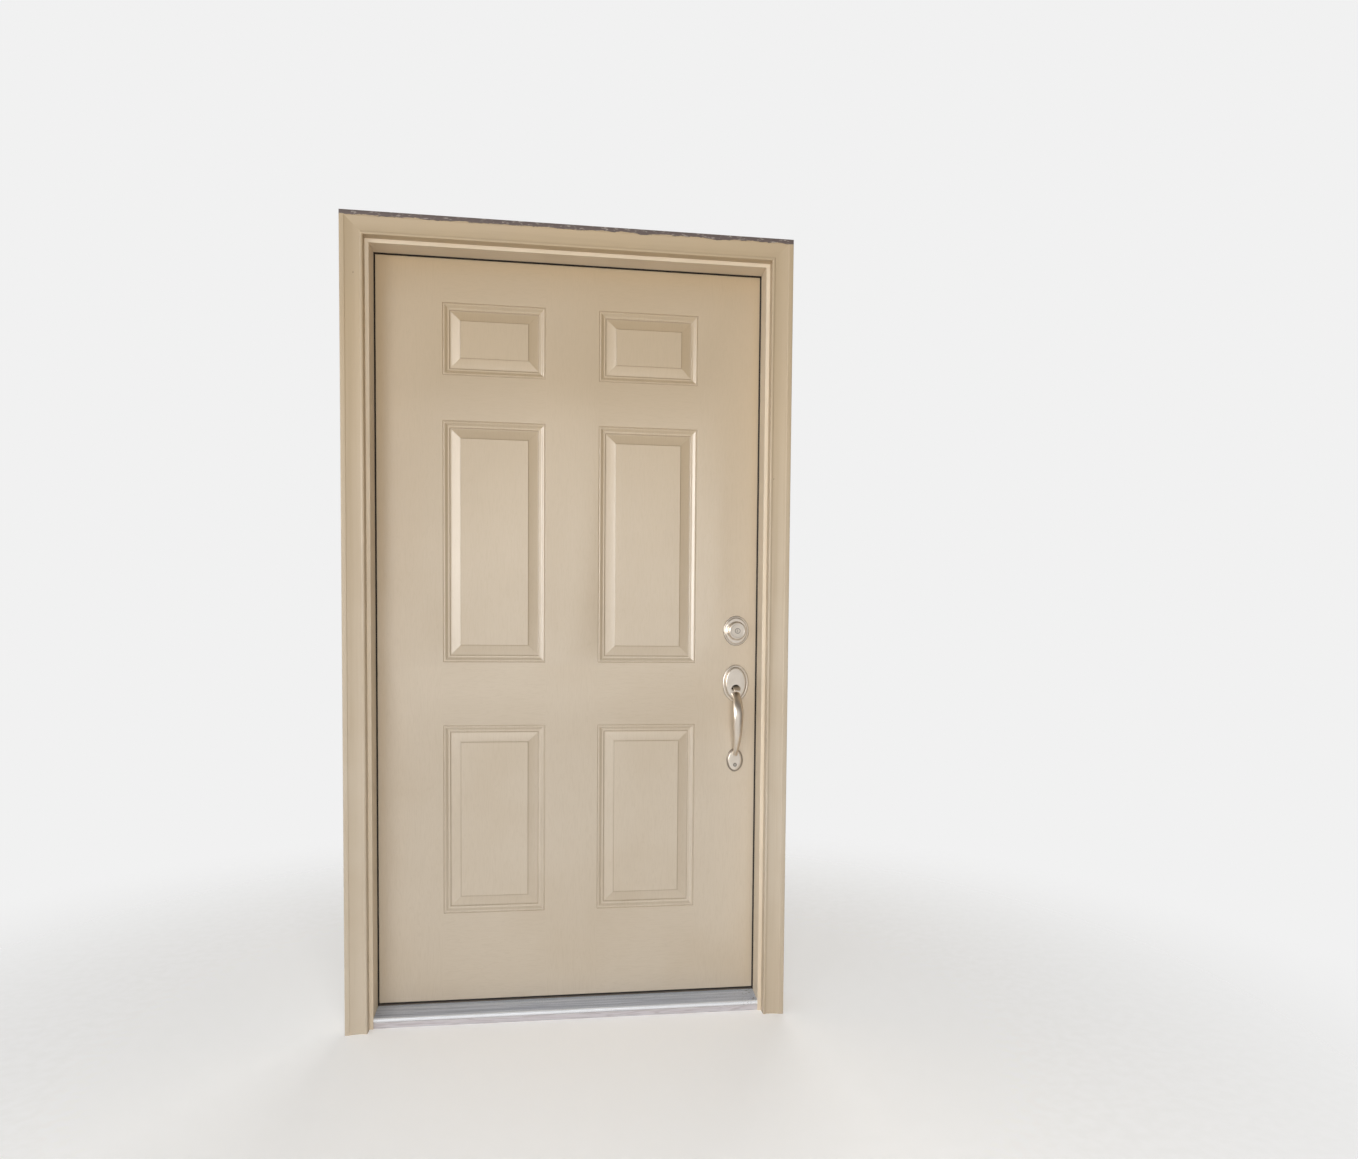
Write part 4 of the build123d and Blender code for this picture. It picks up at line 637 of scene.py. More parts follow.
NODE_FINISHES = {
    "door_paint": ("skin_front", "skin_back"),
    "edge_paint": ("stile_hinge", "stile_latch"),
    "jamb_paint_upright": ("jamb_hinge_side", "jamb_latch_side"),
    "jamb_paint_level": ("jamb_head",),
    "casing_paint_upright": ("brickmould_left", "brickmould_right"),
    "casing_paint_level": ("brickmould_head",),
    "sill_aluminium": ("sill_deck",),
    "cap_vinyl": ("sill_cap",),
    "weatherstrip": ("weatherstrip_left", "weatherstrip_right", "weatherstrip_head", "corner_pads"),
    "sweep_vinyl": ("door_sweep",),
    "core_wood": ("rail_top", "rail_bottom", "lock_block"),
    "sill_wood": ("sill_base",),
    "foam": ("foam_core",),
    "satin_nickel": (
        "upper_rosette", "thumb_piece", "pull_grip", "deadbolt_rosette", "deadbolt_collar",
        "cylinder_body", "cylinder_plug", "knob_rose", "deadbolt_rose", "inside_knob", "thumb_turn",
        "latch_strike", "deadbolt_strike",
    ),
    "hinge_steel": (
        *(f"hinge_frame_leaf_{place}" for place in HINGE_PLACES),
        *(f"hinge_door_leaf_{place}" for place in HINGE_PLACES),
        "hinge_pins",
    ),
    "lock_steel": (
        "latch_case", "deadbolt_case", "latch_bolt", "deadbolt_bolt", "latch_hub", "deadbolt_cam",
        "spindle", "tailpiece",
    ),
    "screw_steel": (
        "jamb_screws", "casing_nails", "sill_cap_screws", "hinge_frame_screws", "hinge_door_screws",
        "strike_screws", "faceplate_screws", "grip_screw", "knob_through_screws",
        "deadbolt_through_screws",
    ),
}
for finish, members in NODE_FINISHES.items():
    for member in members:
        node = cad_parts[member]
        node.data.materials.clear()
        node.data.materials.append(FINISHES[finish])


# Surfaces


def smooth_step(value, start, end):
    """Ease from 0 at start to 1 at end: three times the square less twice the cube of the share."""
    share = np.clip((value - start) / (end - start), 0, 1)
    return share * share * (3 - 2 * share)


def places(x, y, z):
    """Places from three coordinates, each a number, a line or a whole grid."""
    return np.stack(np.broadcast_arrays(x, y, z), axis=-1)


def grid_quads(rows, columns, round_rows=False, round_columns=False):
    """Quads of a grid counted row by row; a round direction joins its last line to its first."""
    row = np.arange(rows if round_rows else rows - 1)[:, None]
    column = np.arange(columns if round_columns else columns - 1)[None, :]
    after, beside = (row + 1) % rows, (column + 1) % columns
    corners = (
        row * columns + column,
        row * columns + beside,
        after * columns + beside,
        after * columns + column,
    )
    return np.stack(corners, axis=-1).reshape(-1, 4)


def patch(points, round_rows=False, round_columns=False, lids=()):
    """Grid surface as its points and faces; a lid closes the first or the last row with one face."""
    rows, columns = points.shape[:2]
    faces = grid_quads(rows, columns, round_rows, round_columns).tolist()
    for row in lids:
        faces.append(((row % rows) * columns + np.arange(columns)).tolist())
    return points.reshape(-1, 3), faces


def finished_mesh(name, parts, outward=None):
    """One mesh in metres from patches in millimetres: seams merged, faces turned outward.

    An open sheet is turned so that its faces look along outward on the whole.
    """
    points, faces = [], []
    for part_points, part_faces in parts:
        start = sum(len(earlier) for earlier in points)
        faces += [[corner + start for corner in face] for face in part_faces]
        points.append(part_points)
    mesh = bpy.data.meshes.new(name)
    mesh.from_pydata((np.concatenate(points) * MM).tolist(), [], faces)
    shape = bmesh.new()
    shape.from_mesh(mesh)
    bmesh.ops.remove_doubles(shape, verts=shape.verts, dist=MERGE * MM)
    bmesh.ops.recalc_face_normals(shape, faces=shape.faces)
    if outward is not None:
        facing = sum(face.calc_area() * face.normal.dot(outward) for face in shape.faces)
        if facing < 0:
            bmesh.ops.reverse_faces(shape, faces=shape.faces)
    shape.to_mesh(mesh)
    shape.free()
    mesh.shade_smooth()
    return mesh


def place_piece(mesh, finish, body, nodes):
    """Put a mesh into the scene with its finish, on a body, in place of solid nodes."""
    piece = bpy.data.objects.new(mesh.name, mesh)
    bpy.context.scene.collection.objects.link(piece)
    mesh.materials.append(FINISHES[finish])
    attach(piece, body)
    if nodes:
        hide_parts(*nodes)
    return piece


def thicken(piece, thickness):
    """Give an open sheet its wall, grown inward from its face."""
    wall = piece.modifiers.new("wall", "SOLIDIFY")
    wall.thickness = thickness * MM
    wall.offset = -1.0
    wall.use_even_offset = False


# Door skins


def moulding_depth(inset):
    """Depth of the panel moulding at an inset from its outer line.

    A sum of eased steps: a quirk, a low bead, an ogee and a fine fillet down to the valley, then the
    bevel rising a little faster towards the field, and the field's own step.
    """
    steps = (QUIRK, LOW_BEAD, OGEE, FILLET)
    curves = sum(depth * smooth_step(inset, start, end) for start, end, depth in steps)
    share = np.clip((inset - BEVEL_START) / (BEVEL_END - BEVEL_START), 0, 1)
    bevel = -BEVEL_RISE * ((1 - BEVEL_BEND) * share + BEVEL_BEND * share**2)
    start, end, depth = FIELD_STEP
    return curves + bevel + depth * smooth_step(inset, start, end)


def edge_lines(inner_lines, low_end, high_end):
    """Grid lines across the slab and their depths: its rounded edges outside, flat lines inside."""
    turn = np.linspace(0, np.pi / 2, SLAB_ROUND_POINTS)
    inset = np.concatenate(([0.0], SLAB_ROUND * (1 - np.cos(turn))))
    depth = np.concatenate(([SKIN], SLAB_ROUND * (1 - np.sin(turn))))
    lines = np.concatenate((low_end + inset, sorted(inner_lines), high_end - inset[::-1]))
    depths = np.concatenate((depth, np.zeros(len(inner_lines)), depth[::-1]))
    return lines, depths


def panel_rectangles():
    """Left, right, bottom and top of the six panels' outer lines."""
    sides = ((-PANEL_OUTER, -PANEL_INNER), (PANEL_INNER, PANEL_OUTER))
    return [(*side, *row) for side in sides for row in PANEL_ROWS]


def inside(x, z, rectangle):
    """Which points lie in a rectangle."""
    left, right, low, high = rectangle
    return (x > left) & (x < right) & (z > low) & (z < high)


def ring_patch(x_lines, z_lines, rectangle, place):
    """Moulding and field of one panel: its outline drawn in by each inset and sunk by the moulding."""
    left, right, low, high = rectangle
    across = x_lines[(x_lines >= left) & (x_lines <= right)]
    along = z_lines[(z_lines >= low) & (z_lines <= high)]
    beside, above = np.ones(len(along) - 1), np.ones(len(across) - 1)
    x = np.concatenate((across[:-1], beside * right, across[:0:-1], beside * left))
    z = np.concatenate((above * low, along[:-1], above * high, along[:0:-1]))
    curves = np.linspace(0, VALLEY, MOULDING_POINTS)
    bevel = np.linspace(VALLEY, BEVEL_END, BEVEL_POINTS)[1:]
    step = np.linspace(BEVEL_END, FIELD_START, BEVEL_POINTS)[1:]
    inset = np.concatenate((curves, bevel, step))[:, None]
    x_in = np.clip(x, left + inset, right - inset)
    z_in = np.clip(z, low + inset, high - inset)
    return patch(place(x_in, z_in, moulding_depth(inset)), round_columns=True, lids=(-1,))


def bore_patch(x, z, place):
    """Flat square round a bore: from each corner on, a face between a side and a quarter circle."""
    sweep = np.linspace(0, np.pi / 2, BORE_QUARTER_POINTS)
    parts = []
    for start in np.radians((225, 315, 405, 495)):
        arc = start + sweep[::-1]
        ends = np.array((start, start + np.pi / 2))
        across = np.concatenate((x + BORE_ROOM * np.sign(np.cos(ends)), x + BORE_RADIUS * np.cos(arc)))
        along = np.concatenate((z + BORE_ROOM * np.sign(np.sin(ends)), z + BORE_RADIUS * np.sin(arc)))
        parts.append((place(across, along, 0.0), [list(range(len(across)))]))
    return parts


def spots(mesh):
    """Places of a mesh's points in metres, one row each."""
    flat = np.empty(len(mesh.vertices) * 3)
    mesh.vertices.foreach_get("co", flat)
    return flat.reshape(-1, 3)


def grain_map(mesh):
    """Lay the grain's map over a skin: it runs up the stiles and panels and across the rails.

    Each board's map is the plain front view, turned on the rails and shifted from board to board.
    Boards are told apart by the panel's number, by being a rail, and by the side of the slab.
    """
    count, corners = len(mesh.polygons), len(mesh.loops)
    centre = np.empty(count * 3)
    sides = np.empty(count, int)
    vertex = np.empty(corners, int)
    mesh.polygons.foreach_get("center", centre)
    mesh.polygons.foreach_get("loop_total", sides)
    mesh.loops.foreach_get("vertex_index", vertex)
    x, z = centre.reshape(-1, 3)[:, (X, Z)].T
    panel = np.zeros(count)
    for number, rectangle in enumerate(panel_rectangles()):
        panel += (number + 1) * inside(x, z, np.array(rectangle) * MM)
    rail = (abs(x) > PANEL_INNER * MM) & (abs(x) < PANEL_OUTER * MM) & (panel == 0)
    board = np.repeat(panel + RAIL_NUMBER * rail + SIDE_NUMBER * np.sign(x), sides)
    turned = np.repeat(rail, sides)
    place = spots(mesh)[vertex]
    across = np.where(turned, place[:, Z], place[:, X]) + GRAIN_SHIFT[0] * board
    along = np.where(turned, place[:, X], place[:, Z]) + GRAIN_SHIFT[1] * board
    layer = mesh.uv_layers.new(name="grain")
    layer.data.foreach_set("uv", np.stack((across, along), axis=-1).ravel())


def crease_map(mesh):
    """Mark how much painted shade darkens the creases: bell curves round the insets of the quirk, valley
    and field line.
    """
    x, z = spots(mesh)[:, (X, Z)].T / MM
    left, right, low, high = np.array(panel_rectangles()).T[:, :, None]
    inset = np.stack((x - left, right - x, z - low, high - z)).min(axis=0).max(axis=0)
    darkening = sum(
        amount * np.exp(-(((inset - middle) / width) ** 2)) for middle, width, amount in CREASES
    )
    layer = mesh.attributes.new("crease", "FLOAT", "POINT")
    layer.data.foreach_set("value", darkening)


def sharpen_mitres(mesh):
    """Keep a crisp line where mouldings meet: every edge that runs at 45 degrees in the front view."""
    ends = np.empty(len(mesh.edges) * 2, int)
    mesh.edges.foreach_get("vertices", ends)
    first, last = spots(mesh)[ends.reshape(-1, 2)].transpose(1, 0, 2)
    step = abs(last - first)
    diagonal = (abs(step[:, X] - step[:, Z]) < TINY) & (step[:, X] > TINY)
    layer = mesh.attributes.new("sharp_edge", "BOOLEAN", "EDGE")
    layer.data.foreach_set("value", diagonal)


def door_skin(name, node, face, inward, mortises):
    """Embossed skin with its six panels, two bores and, on the inside, the hinges' mortises.

    A grid of flat cells whose depth is the larger of the two edges' roundings; the cells under the
    panels and bores give way to their own patches.
    """

    def place(x, z, depth):
        return places(x, face + inward * depth, z)

    bore_x = (LOCK_X - BORE_ROOM, LOCK_X + BORE_ROOM)
    bores = [(*bore_x, z - BORE_ROOM, z + BORE_ROOM) for z in (LATCH_Z, DEADBOLT_Z)]
    mortise_x = (-SLAB_HALF - SKIN, MORTISE_DEPTH - SLAB_HALF)
    notches = [(*mortise_x, z, z + HINGE_HEIGHT) for z in mortises]
    holes = panel_rectangles() + bores + notches
    x_inner = {x for hole in holes for x in hole[:2] if abs(x) < SLAB_HALF}
    z_inner = {z for hole in holes for z in hole[2:]}
    x_lines, x_depths = edge_lines(x_inner, -SLAB_HALF, SLAB_HALF)
    z_lines, z_depths = edge_lines(z_inner, SLAB_BOTTOM, SLAB_TOP)
    x, z = np.meshgrid(x_lines, z_lines, indexing="ij")
    depth = np.maximum(x_depths[:, None], z_depths[None, :])
    quads = grid_quads(*x.shape)
    middle_x, middle_z = x.ravel()[quads].mean(axis=1), z.ravel()[quads].mean(axis=1)
    open_quads = np.any([inside(middle_x, middle_z, hole) for hole in holes], axis=0)
    parts = [(place(x, z, depth).reshape(-1, 3), quads[~open_quads].tolist())]
    parts += [ring_patch(x_lines, z_lines, panel, place) for panel in panel_rectangles()]
    for bore_z in (LATCH_Z, DEADBOLT_Z):
        parts += bore_patch(LOCK_X, bore_z, place)
    mesh = finished_mesh(name, parts, Vector((0, -inward, 0)))
    grain_map(mesh)
    crease_map(mesh)
    sharpen_mitres(mesh)
    thicken(place_piece(mesh, "door_paint", "door", [node]), SKIN)


door_skin("door_face", "skin_front", SLAB_FRONT, 1, ())
door_skin("door_inside_face", "skin_back", SLAB_BACK, -1, HINGE_BOTTOMS)


# Casing


def casing_profile():
    """Casing section as distance from its inner edge and height off the wall.

    A half-round bead, a shallow cove whose height is a rising power less half a sine, a rounded
    step, the flat and its eased outer corner.
    """
    turn = np.linspace(0, np.pi, CASING_BEAD_POINTS)
    bead = np.stack((BEAD_HALF - BEAD_HALF * np.cos(turn), BEAD_BASE + BEAD_RISE * np.sin(turn)))
    share = np.linspace(0, 1, CASING_COVE_POINTS)[1:]
    cove_height = BEAD_BASE + COVE_RISE * share**COVE_POWER - COVE_SAG * np.sin(np.pi * share)
    cove = np.stack((2 * BEAD_HALF + COVE_WIDTH * share, cove_height))
    quarter = np.linspace(0, np.pi / 2, CASING_QUARTER_POINTS)
    step_height = STEP_BASE + (CASING_DEPTH - STEP_BASE) * np.sin(quarter)
    step = np.stack((STEP_START + STEP_WIDTH * (1 - np.cos(quarter)), step_height))
    corner_width = CASING_WIDTH - CORNER_ROUND * (1 - np.sin(quarter))
    corner = np.stack((corner_width, CASING_DEPTH - CORNER_ROUND * (1 - np.cos(quarter))))
    flat = np.array(((FLAT_MIDDLE,), (CASING_DEPTH,)))
    back = np.array(((CASING_WIDTH, 0.0), (0.0, 0.0)))
    return np.concatenate((bead, cove, step, flat, corner, back), axis=1)


def casing_piece(name, node, finish, points):
    """Casing between its two ends: the section's closed outline carried from one to the other."""
    mesh = finished_mesh(name, [patch(points, round_columns=True, lids=(0, 1))])
    mesh.set_sharp_from_angle(angle=SHARP)
    place_piece(mesh, finish, "frame", [node])


def casing_leg(name, node, side):
    """Casing up one side, from the sill's underside to a 45 degree mitre."""
    away, height = casing_profile()
    ends = np.stack((0 * away, CASING_HEAD_INNER + away))
    points = places(side * (CASING_INNER + away), -height, ends)
    casing_piece(name, node, "casing_paint_upright", points)


def casing_head(name, node):
    """Casing over the door, between its two mitres."""
    away, height = casing_profile()
    ends = np.stack((-CASING_INNER - away, CASING_INNER + away))
    points = places(ends, -height, CASING_HEAD_INNER + away)
    casing_piece(name, node, "casing_paint_level", points)


casing_leg("casing_left", "brickmould_left", -1)
casing_leg("casing_right", "brickmould_right", 1)
casing_head("casing_head", "brickmould_head")


# Outside trim


def around(count):
    """Angles of a full turn without its end."""
    return np.linspace(0, 2 * np.pi, count, endpoint=False)


def trim_points(x, z, out):
    """Places on the outside trim from x, height and distance out of the slab's face."""
    return places(x, SLAB_FRONT - out, z)


def nickel_piece(name, parts, body, nodes, outward=None):
    """Piece of satin nickel trim whose sharper folds stay crisp."""
    mesh = finished_mesh(name, parts, outward)
    mesh.set_sharp_from_angle(angle=SHARP)
    return place_piece(mesh, "satin_nickel", body, nodes)


def plate_piece(name, node, points, wall):
    """Oval plate of the trim: an open sheet, facing out, with its wall grown inward."""
    sheet = [patch(points, round_columns=True)]
    thicken(nickel_piece(name, sheet, "door", [node], Vector((0, -1, 0))), wall)


def window_outline():
    """Arched window of the thumb piece: an arc over a tapered foot, evenly spaced along its length."""
    rise = WINDOW_TOP - WINDOW_SHOULDER
    radius = (WINDOW_HALF**2 + rise**2) / (2 * rise)
    reach = np.arcsin(WINDOW_HALF / radius)
    turn = np.linspace(-reach, reach, WINDOW_ARC_POINTS)
    arc_x, arc_z = radius * np.sin(turn), WINDOW_TOP - radius * (1 - np.cos(turn))
    x = np.concatenate((arc_x, (WINDOW_FOOT, -WINDOW_FOOT, arc_x[0])))
    z = np.concatenate((arc_z, (WINDOW_LOW, WINDOW_LOW, arc_z[0])))
    length = np.concatenate(((0.0,), np.cumsum(np.hypot(np.diff(x), np.diff(z)))))
    spaced = np.linspace(0, length[-1], PLATE_POINTS, endpoint=False)
    return LOCK_X + np.interp(spaced, length, x), LATCH_Z + np.interp(spaced, length, z)


def round_outline(centre_z, radius):
    """Round opening as an outline."""
    turn = around(PLATE_POINTS)
    return LOCK_X + radius * np.cos(turn), centre_z + radius * np.sin(turn)


def to_oval(x, z, centre, half_width, half_height, about):
    """Where rays from a point through an outline meet an oval: the positive root of a quadratic."""
    ray_x, ray_z = x - about[0], z - about[1]
    from_x, from_z = about[0] - centre[0], about[1] - centre[1]
    a = (ray_x / half_width) ** 2 + (ray_z / half_height) ** 2
    b = from_x * ray_x / half_width**2 + from_z * ray_z / half_height**2
    c = (from_x / half_width) ** 2 + (from_z / half_height) ** 2 - 1
    reach = (np.sqrt(b * b - a * c) - b) / a
    return about[0] + reach * ray_x, about[1] + reach * ray_z


def pierced_plate(centre_z, size, profile, opening, about, falls, crown=PLATE_CROWN):
    """Oval plate with an opening: its edge follows a profile, and its top runs on to the opening.

    Every ring lies on rays from a point inside the opening, so edge and opening have the same count.
    The top is a straight blend between them, crowned by twice the share less its square. The
    opening's lip is drawn in a little and goes down by each fall.
    """
    x, z = opening
    rings = []
    for inset, out in profile:
        ring_x, ring_z = to_oval(x, z, (LOCK_X, centre_z), size[0] - inset, size[1] - inset, about)
        rings.append(trim_points(ring_x, ring_z, out))
    edge_x, edge_z, top = ring_x, ring_z, profile[-1][1]
    for share in np.linspace(0, 1, PLATE_TOP_RINGS)[1:]:
        ring_x, ring_z = edge_x + share * (x - edge_x), edge_z + share * (z - edge_z)
        rings.append(trim_points(ring_x, ring_z, top + crown * share * (2 - share)))
    for fall in falls:
        lip_x = x + LIP_DRAW * (about[0] - x) / LIP_SPAN
        rings.append(trim_points(lip_x, z, top + crown - fall))
    return np.array(rings)


def upper_rosette():
    """Oval rosette: rounded rim, fine groove, crowned middle and the thumb piece's arched window."""
    profile = (
        (0, 0), (0, 2.6), (0.2, 3.6), (0.8, 4.5), (1.8, 5.1), (3.2, 5.3), (4.8, 5.1), (6.0, 4.6),
        (6.7, 3.9), (7.4, 3.7), (8.0, 3.9), (8.4, 5.0), (8.6, 7.0), (8.9, 8.2), (9.6, 9.0), (10.8, 9.3),
    )
    about = (LOCK_X, LATCH_Z + WINDOW_MIDDLE)
    falls = (LIP_DROP, WINDOW_DEPTH)
    points = pierced_plate(ROSETTE_Z, ROSETTE_SIZE, profile, window_outline(), about, falls)
    plate_piece("upper_plate", "upper_rosette", points, ROSETTE_WALL)


def deadbolt_rosette():
    """Oval rosette under the collar: rounded rim, groove and a raised step with a flat top."""
    profile = (
        (0, 0), (0, 2.4), (0.2, 3.3), (0.9, 4.1), (2.0, 4.5), (3.2, 4.4), (4.0, 4.0), (4.6, 3.9),
        (5.1, 4.3), (5.3, 6.2), (5.7, 7.2), (6.6, 7.8), (7.8, 8.0),
    )
    about = (LOCK_X, DEADBOLT_Z)
    opening = round_outline(DEADBOLT_Z, DEADBOLT_OPENING)
    points = pierced_plate(DEADBOLT_Z, DEADBOLT_SIZE, profile, opening, about, (0.0,), crown=0.0)
    plate_piece("deadbolt_plate", "deadbolt_rosette", points, DEADBOLT_WALL)


def deadbolt_collar():
    """Collar turned about the key's axis: a low foot bead, a tapered side and a rounded face."""
    profile = (
        (18.0, 8.05), (26.6, 8.05), (26.9, 9.0), (26.7, 9.9), (26.2, 10.2), (25.9, 10.6), (25.7, 11.2),
        (23.9, 22.6), (23.7, 24.2), (23.2, 25.2), (22.4, 25.8), (21.4, 26.0), (20.0, 26.0), (18.6, 26.0),
        (18.2, 25.8), (18.0, 25.4),
    )
    radius, out = np.array(profile).T[:, :, None]
    x, z = round_outline(DEADBOLT_Z, radius)
    ring = patch(trim_points(x, z, out), round_rows=True, round_columns=True)
    nickel_piece("deadbolt_guard", [ring], "door", ["deadbolt_collar"])


def eased_run(values, at, first, last):
    """Smooth curve through values: cubic pieces whose slopes are the means of their neighbours'."""
    steps = np.diff(values, axis=0)
    slopes = np.concatenate(((first,), (steps[1:] + steps[:-1]) / 2, (last,)))
    index = np.minimum(at.astype(int), len(steps) - 1)
    t = (at - index)[:, None]
    start, end = values[index], values[index + 1]
    start_slope, end_slope = slopes[index], slopes[index + 1]
    return (
        (2 * t**3 - 3 * t**2 + 1) * start
        + (t**3 - 2 * t**2 + t) * start_slope
        + (3 * t**2 - 2 * t**3) * end
        + (t**3 - t**2) * end_slope
    )


def grip_arch():
    """Grip: an oval carried along a smooth arch, wider than deep, its two ends flared into the plates."""
    stations = np.array(GRIP_STATIONS)
    at = np.linspace(0, len(stations) - 1, GRIP_RINGS)
    run = eased_run(stations, at, GRIP_LEAVING, GRIP_LANDING)
    out, down, wide, deep = run.T[:, :, None]
    share = at[:, None] / at[-1]
    flare = FLARE_TOP * np.exp(-share / FLARE_LENGTH) + FLARE_FOOT * np.exp(-(1 - share) / FLARE_LENGTH)
    slope = np.gradient(run[:, :2], axis=0)
    slope /= np.linalg.norm(slope, axis=1)[:, None]
    turn = around(GRIP_POINTS)
    lift = (deep + flare) * np.sin(turn)
    x = LOCK_X + (wide + flare) * np.cos(turn)
    z = LATCH_Z - GRIP_TOP - down + lift * slope[:, :1]
    return patch(trim_points(x, z, out + lift * slope[:, 1:]), round_columns=True, lids=(0, -1))


def grip_foot():
    """Foot of the grip: an oval pad with a rounded rim, a crowned middle and the screw's countersink."""
    profile = (
        (0, 0), (0, 1.8), (0.2, 2.6), (0.8, 3.3), (1.8, 3.6), (2.8, 3.5), (3.4, 3.3), (3.9, 3.6),
        (4.2, 5.0), (4.7, 6.0), (5.8, 6.6), (7.4, 6.8),
    )
    about = (LOCK_X, FOOT_SCREW_Z)
    opening = round_outline(FOOT_SCREW_Z, COUNTERSINK_RADIUS)
    falls = (LIP_DROP, COUNTERSINK_DEPTH)
    return patch(pierced_plate(FOOT_Z, FOOT_SIZE, profile, opening, about, falls), round_columns=True)


def thumb_pad():
    """Crowned pad on the thumb piece's tongue.

    Its section is an oval squared off at the sides, crowned above and sunk into the tongue below.
    Along the tongue it drops by a power of the way, and its tip narrows as half an ellipse and thins.
    """
    along = np.linspace(0, 1, THUMB_RINGS)[:, None]
    turn = around(THUMB_POINTS)[None, :]
    tip = np.clip((along - THUMB_TIP) / (1 - THUMB_TIP), 0, 1)
    half = THUMB_HALF * np.sqrt(np.clip(1 - tip**2, THUMB_BLUNT, 1))
    across = half * np.sign(np.cos(turn)) * abs(np.cos(turn)) ** THUMB_SQUARE
    thickness = THUMB_EDGE + (1 - THUMB_EDGE) * np.sqrt(1 - along**THUMB_THINNING)
    rise = np.where(np.sin(turn) > 0, THUMB_CROWN, THUMB_SUNK) * np.sin(turn) * thickness
    out = THUMB_START + (THUMB_END - THUMB_START) * along
    tongue = THUMB_TOP - THUMB_DROP * along**THUMB_BEND
    points = trim_points(LOCK_X + across, LATCH_Z + tongue + rise, out)
    nickel_piece("thumb_pad", [patch(points, round_columns=True, lids=(0, -1))], "thumb", [])


upper_rosette()
deadbolt_rosette()
deadbolt_collar()
nickel_piece("grip", [grip_arch(), grip_foot()], "door", ["pull_grip"])
thumb_pad()


# Studio


def matrix_from(right, up, back, place):
    """Placing matrix whose columns are the three directions and the place."""
    rows = np.eye(4)
    rows[:3] = np.array((right, up, back, place)).T
    return Matrix(rows.tolist())


def aim_camera():
    """Camera turned by yaw, pitch and roll; its shift puts the optical axis at the photograph's pixel."""
    yaw, pitch, roll = np.radians((CAMERA_YAW, CAMERA_PITCH, CAMERA_ROLL))
    ahead = np.array((np.sin(yaw) * np.cos(pitch), np.cos(yaw) * np.cos(pitch), np.sin(pitch)))
    level = np.array((np.cos(yaw), -np.sin(yaw), 0.0))
    upright = np.cross(level, ahead)
    right = np.cos(roll) * level + np.sin(roll) * upright
    up = np.cos(roll) * upright - np.sin(roll) * level
    data = bpy.data.cameras.new("camera")
    data.sensor_width = SENSOR_WIDTH
    data.lens = SENSOR_WIDTH * FOCAL_PIXELS / IMAGE_WIDTH
    data.shift_x = (IMAGE_WIDTH / 2 - OPTICAL_AXIS[0]) / IMAGE_WIDTH
    data.shift_y = (OPTICAL_AXIS[1] - IMAGE_HEIGHT / 2) / IMAGE_WIDTH
    data.clip_start = CAMERA_NEAREST
    camera = bpy.data.objects.new("camera", data)
    bpy.context.scene.collection.objects.link(camera)
    camera.matrix_world = matrix_from(right, up, -ahead, CAMERA_PLACE)
    bpy.context.scene.camera = camera


def soft_box(name, place, width, height, power, colour=(1, 1, 1), gleam=False):
    """Rectangular lamp aimed at the door's middle; a gleam gives highlights only, the others none."""
    data = bpy.data.lights.new(name, "AREA")
    data.shape = "RECTANGLE"
    data.size = width
    data.size_y = height
    data.energy = power
    data.color = colour
    lamp = bpy.data.objects.new(name, data)
    bpy.context.scene.collection.objects.link(lamp)
    lamp.location = place
    lamp.rotation_euler = (DOOR_MIDDLE - Vector(place)).to_track_quat("-Z", "Y").to_euler()
    lamp.visible_glossy = gleam
    lamp.visible_diffuse = not gleam


def seen_rays(tree):
    """1 for camera, glossy and clear rays, 0 for the rest."""
    path = add_node(tree, "ShaderNodeLightPath").outputs
    seen = combine(tree, "MAXIMUM", path["Is Camera Ray"], path["Is Glossy Ray"])
    return combine(tree, "MAXIMUM", seen, path["Is Transmission Ray"])


def blend_shaders(tree, factor, first, second, output):
    """Mix two shaders by a factor and hand the result to the output's surface."""
    blend = tree.nodes.new("ShaderNodeMixShader")
    tree.links.new(factor, blend.inputs[0])
    tree.links.new(first.outputs[0], blend.inputs[1])
    tree.links.new(second.outputs[0], blend.inputs[2])
    tree.links.new(blend.outputs[0], tree.nodes[output].inputs["Surface"])


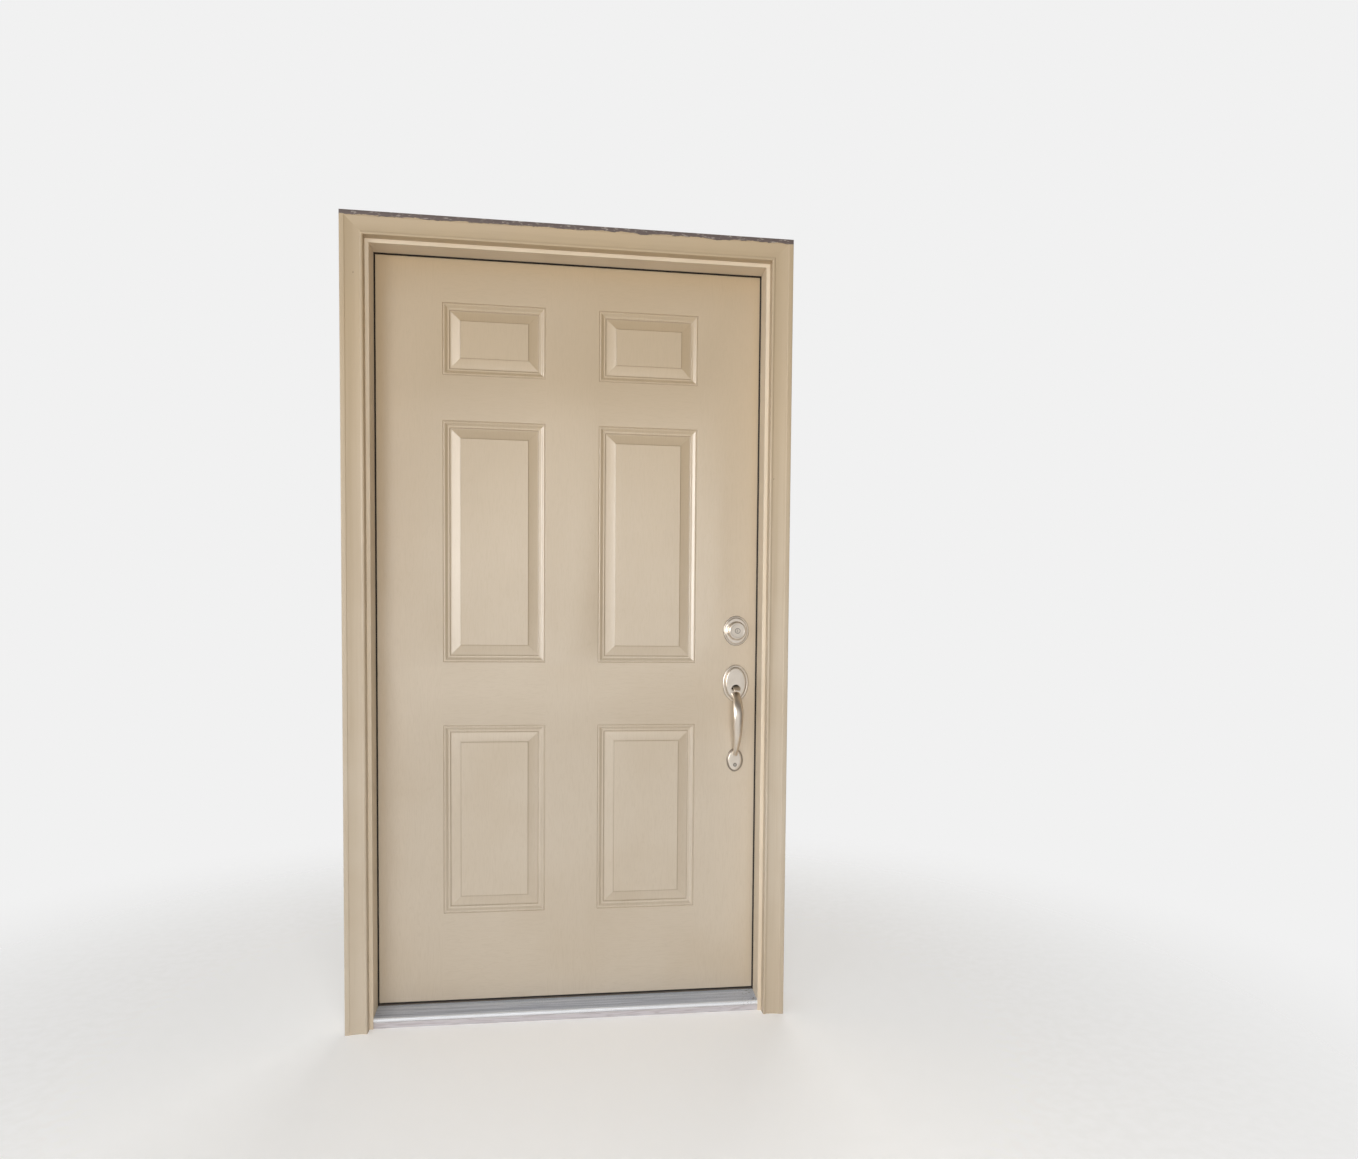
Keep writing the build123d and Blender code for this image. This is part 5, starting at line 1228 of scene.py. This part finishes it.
def light_room():
    """Soft light from all round, cool from the left and weaker and warmer from the right.

    Camera, glossy and clear rays meet a pale room instead, which metal sees paler straight ahead and
    behind than at its sides and overhead.
    """
    world = bpy.data.worlds.new("room")
    bpy.context.scene.world = world
    world.use_nodes = True
    tree = world.node_tree
    sky = tree.nodes["Background"]
    sky.inputs["Strength"].default_value = SKY_STRENGTH
    room = add_node(tree, "ShaderNodeBackground", {"Strength": 1.0})
    split = add_node(tree, "ShaderNodeSeparateXYZ")
    tree.links.new(add_node(tree, "ShaderNodeTexCoord").outputs["Generated"], split.inputs[0])
    from_right = remap(tree, split.outputs["X"], -1.0, 1.0)
    tree.links.new(mixed(tree, from_right, SKY_LEFT, SKY_RIGHT), sky.inputs["Color"])
    facing = remap(tree, combine(tree, "ABSOLUTE", split.outputs["Y"]), 0.82, 0.97)
    camera_rays = add_node(tree, "ShaderNodeLightPath").outputs["Is Camera Ray"]
    pale = combine(tree, "MAXIMUM", facing, camera_rays)
    tree.links.new(mixed(tree, pale, ROOM_SIDES, ROOM_PALE), room.inputs["Color"])
    blend_shaders(tree, seen_rays(tree), sky, room, "World Output")


def lay_floor():
    """Plain pale floor that thins out to the room's own tone well away from the door."""
    bpy.ops.mesh.primitive_plane_add(size=2 * FLOOR_HALF, location=(0, 0, 0))
    floor = bpy.context.object
    floor.name = "floor"
    tree, shader = finish_of("floor", {"Roughness": 0.8, "Emission Color": WHITE})
    vector = object_space(tree)[0]
    clouds = remap(tree, noise(tree, vector, scale=30, detail=4.0), 0.3, 0.7)
    tree.links.new(mixed(tree, clouds, FLOOR_DARK, FLOOR_PALE), shader.inputs["Base Color"])
    lifted = combine(tree, "MULTIPLY", seen_rays(tree), FLOOR_LIFT)
    tree.links.new(lifted, shader.inputs["Emission Strength"])
    reach = add_node(tree, "ShaderNodeVectorMath", operation="LENGTH")
    tree.links.new(vector, reach.inputs[0])
    fading = remap(tree, reach.outputs["Value"], FLOOR_CLEAR, FLOOR_GONE)
    clear = tree.nodes.new("ShaderNodeBsdfTransparent")
    blend_shaders(tree, fading, shader, clear, "Material Output")
    floor.data.materials.append(FINISHES["floor"])


aim_camera()
soft_box(
    "window_light", place=(-3.3, -5.4, 1.5), width=2.0, height=2.0, power=55, colour=(0.95, 1.0, 1.06)
)
soft_box("front_light", place=(0.1, -3.3, 1.6), width=1.5, height=1.3, power=58.5)
soft_box("window_gleam", place=(-4.4, -4.7, 2.2), width=3.8, height=3.2, power=165, gleam=True)
soft_box("side_gleam", place=(-6.1, -2.4, 1.9), width=3.2, height=2.8, power=200, gleam=True)
soft_box("back_light", place=(1.8, 7.0, 3.0), width=4.0, height=3.0, power=240)
light_room()
lay_floor()
bpy.context.scene.view_settings.view_transform = "Standard"
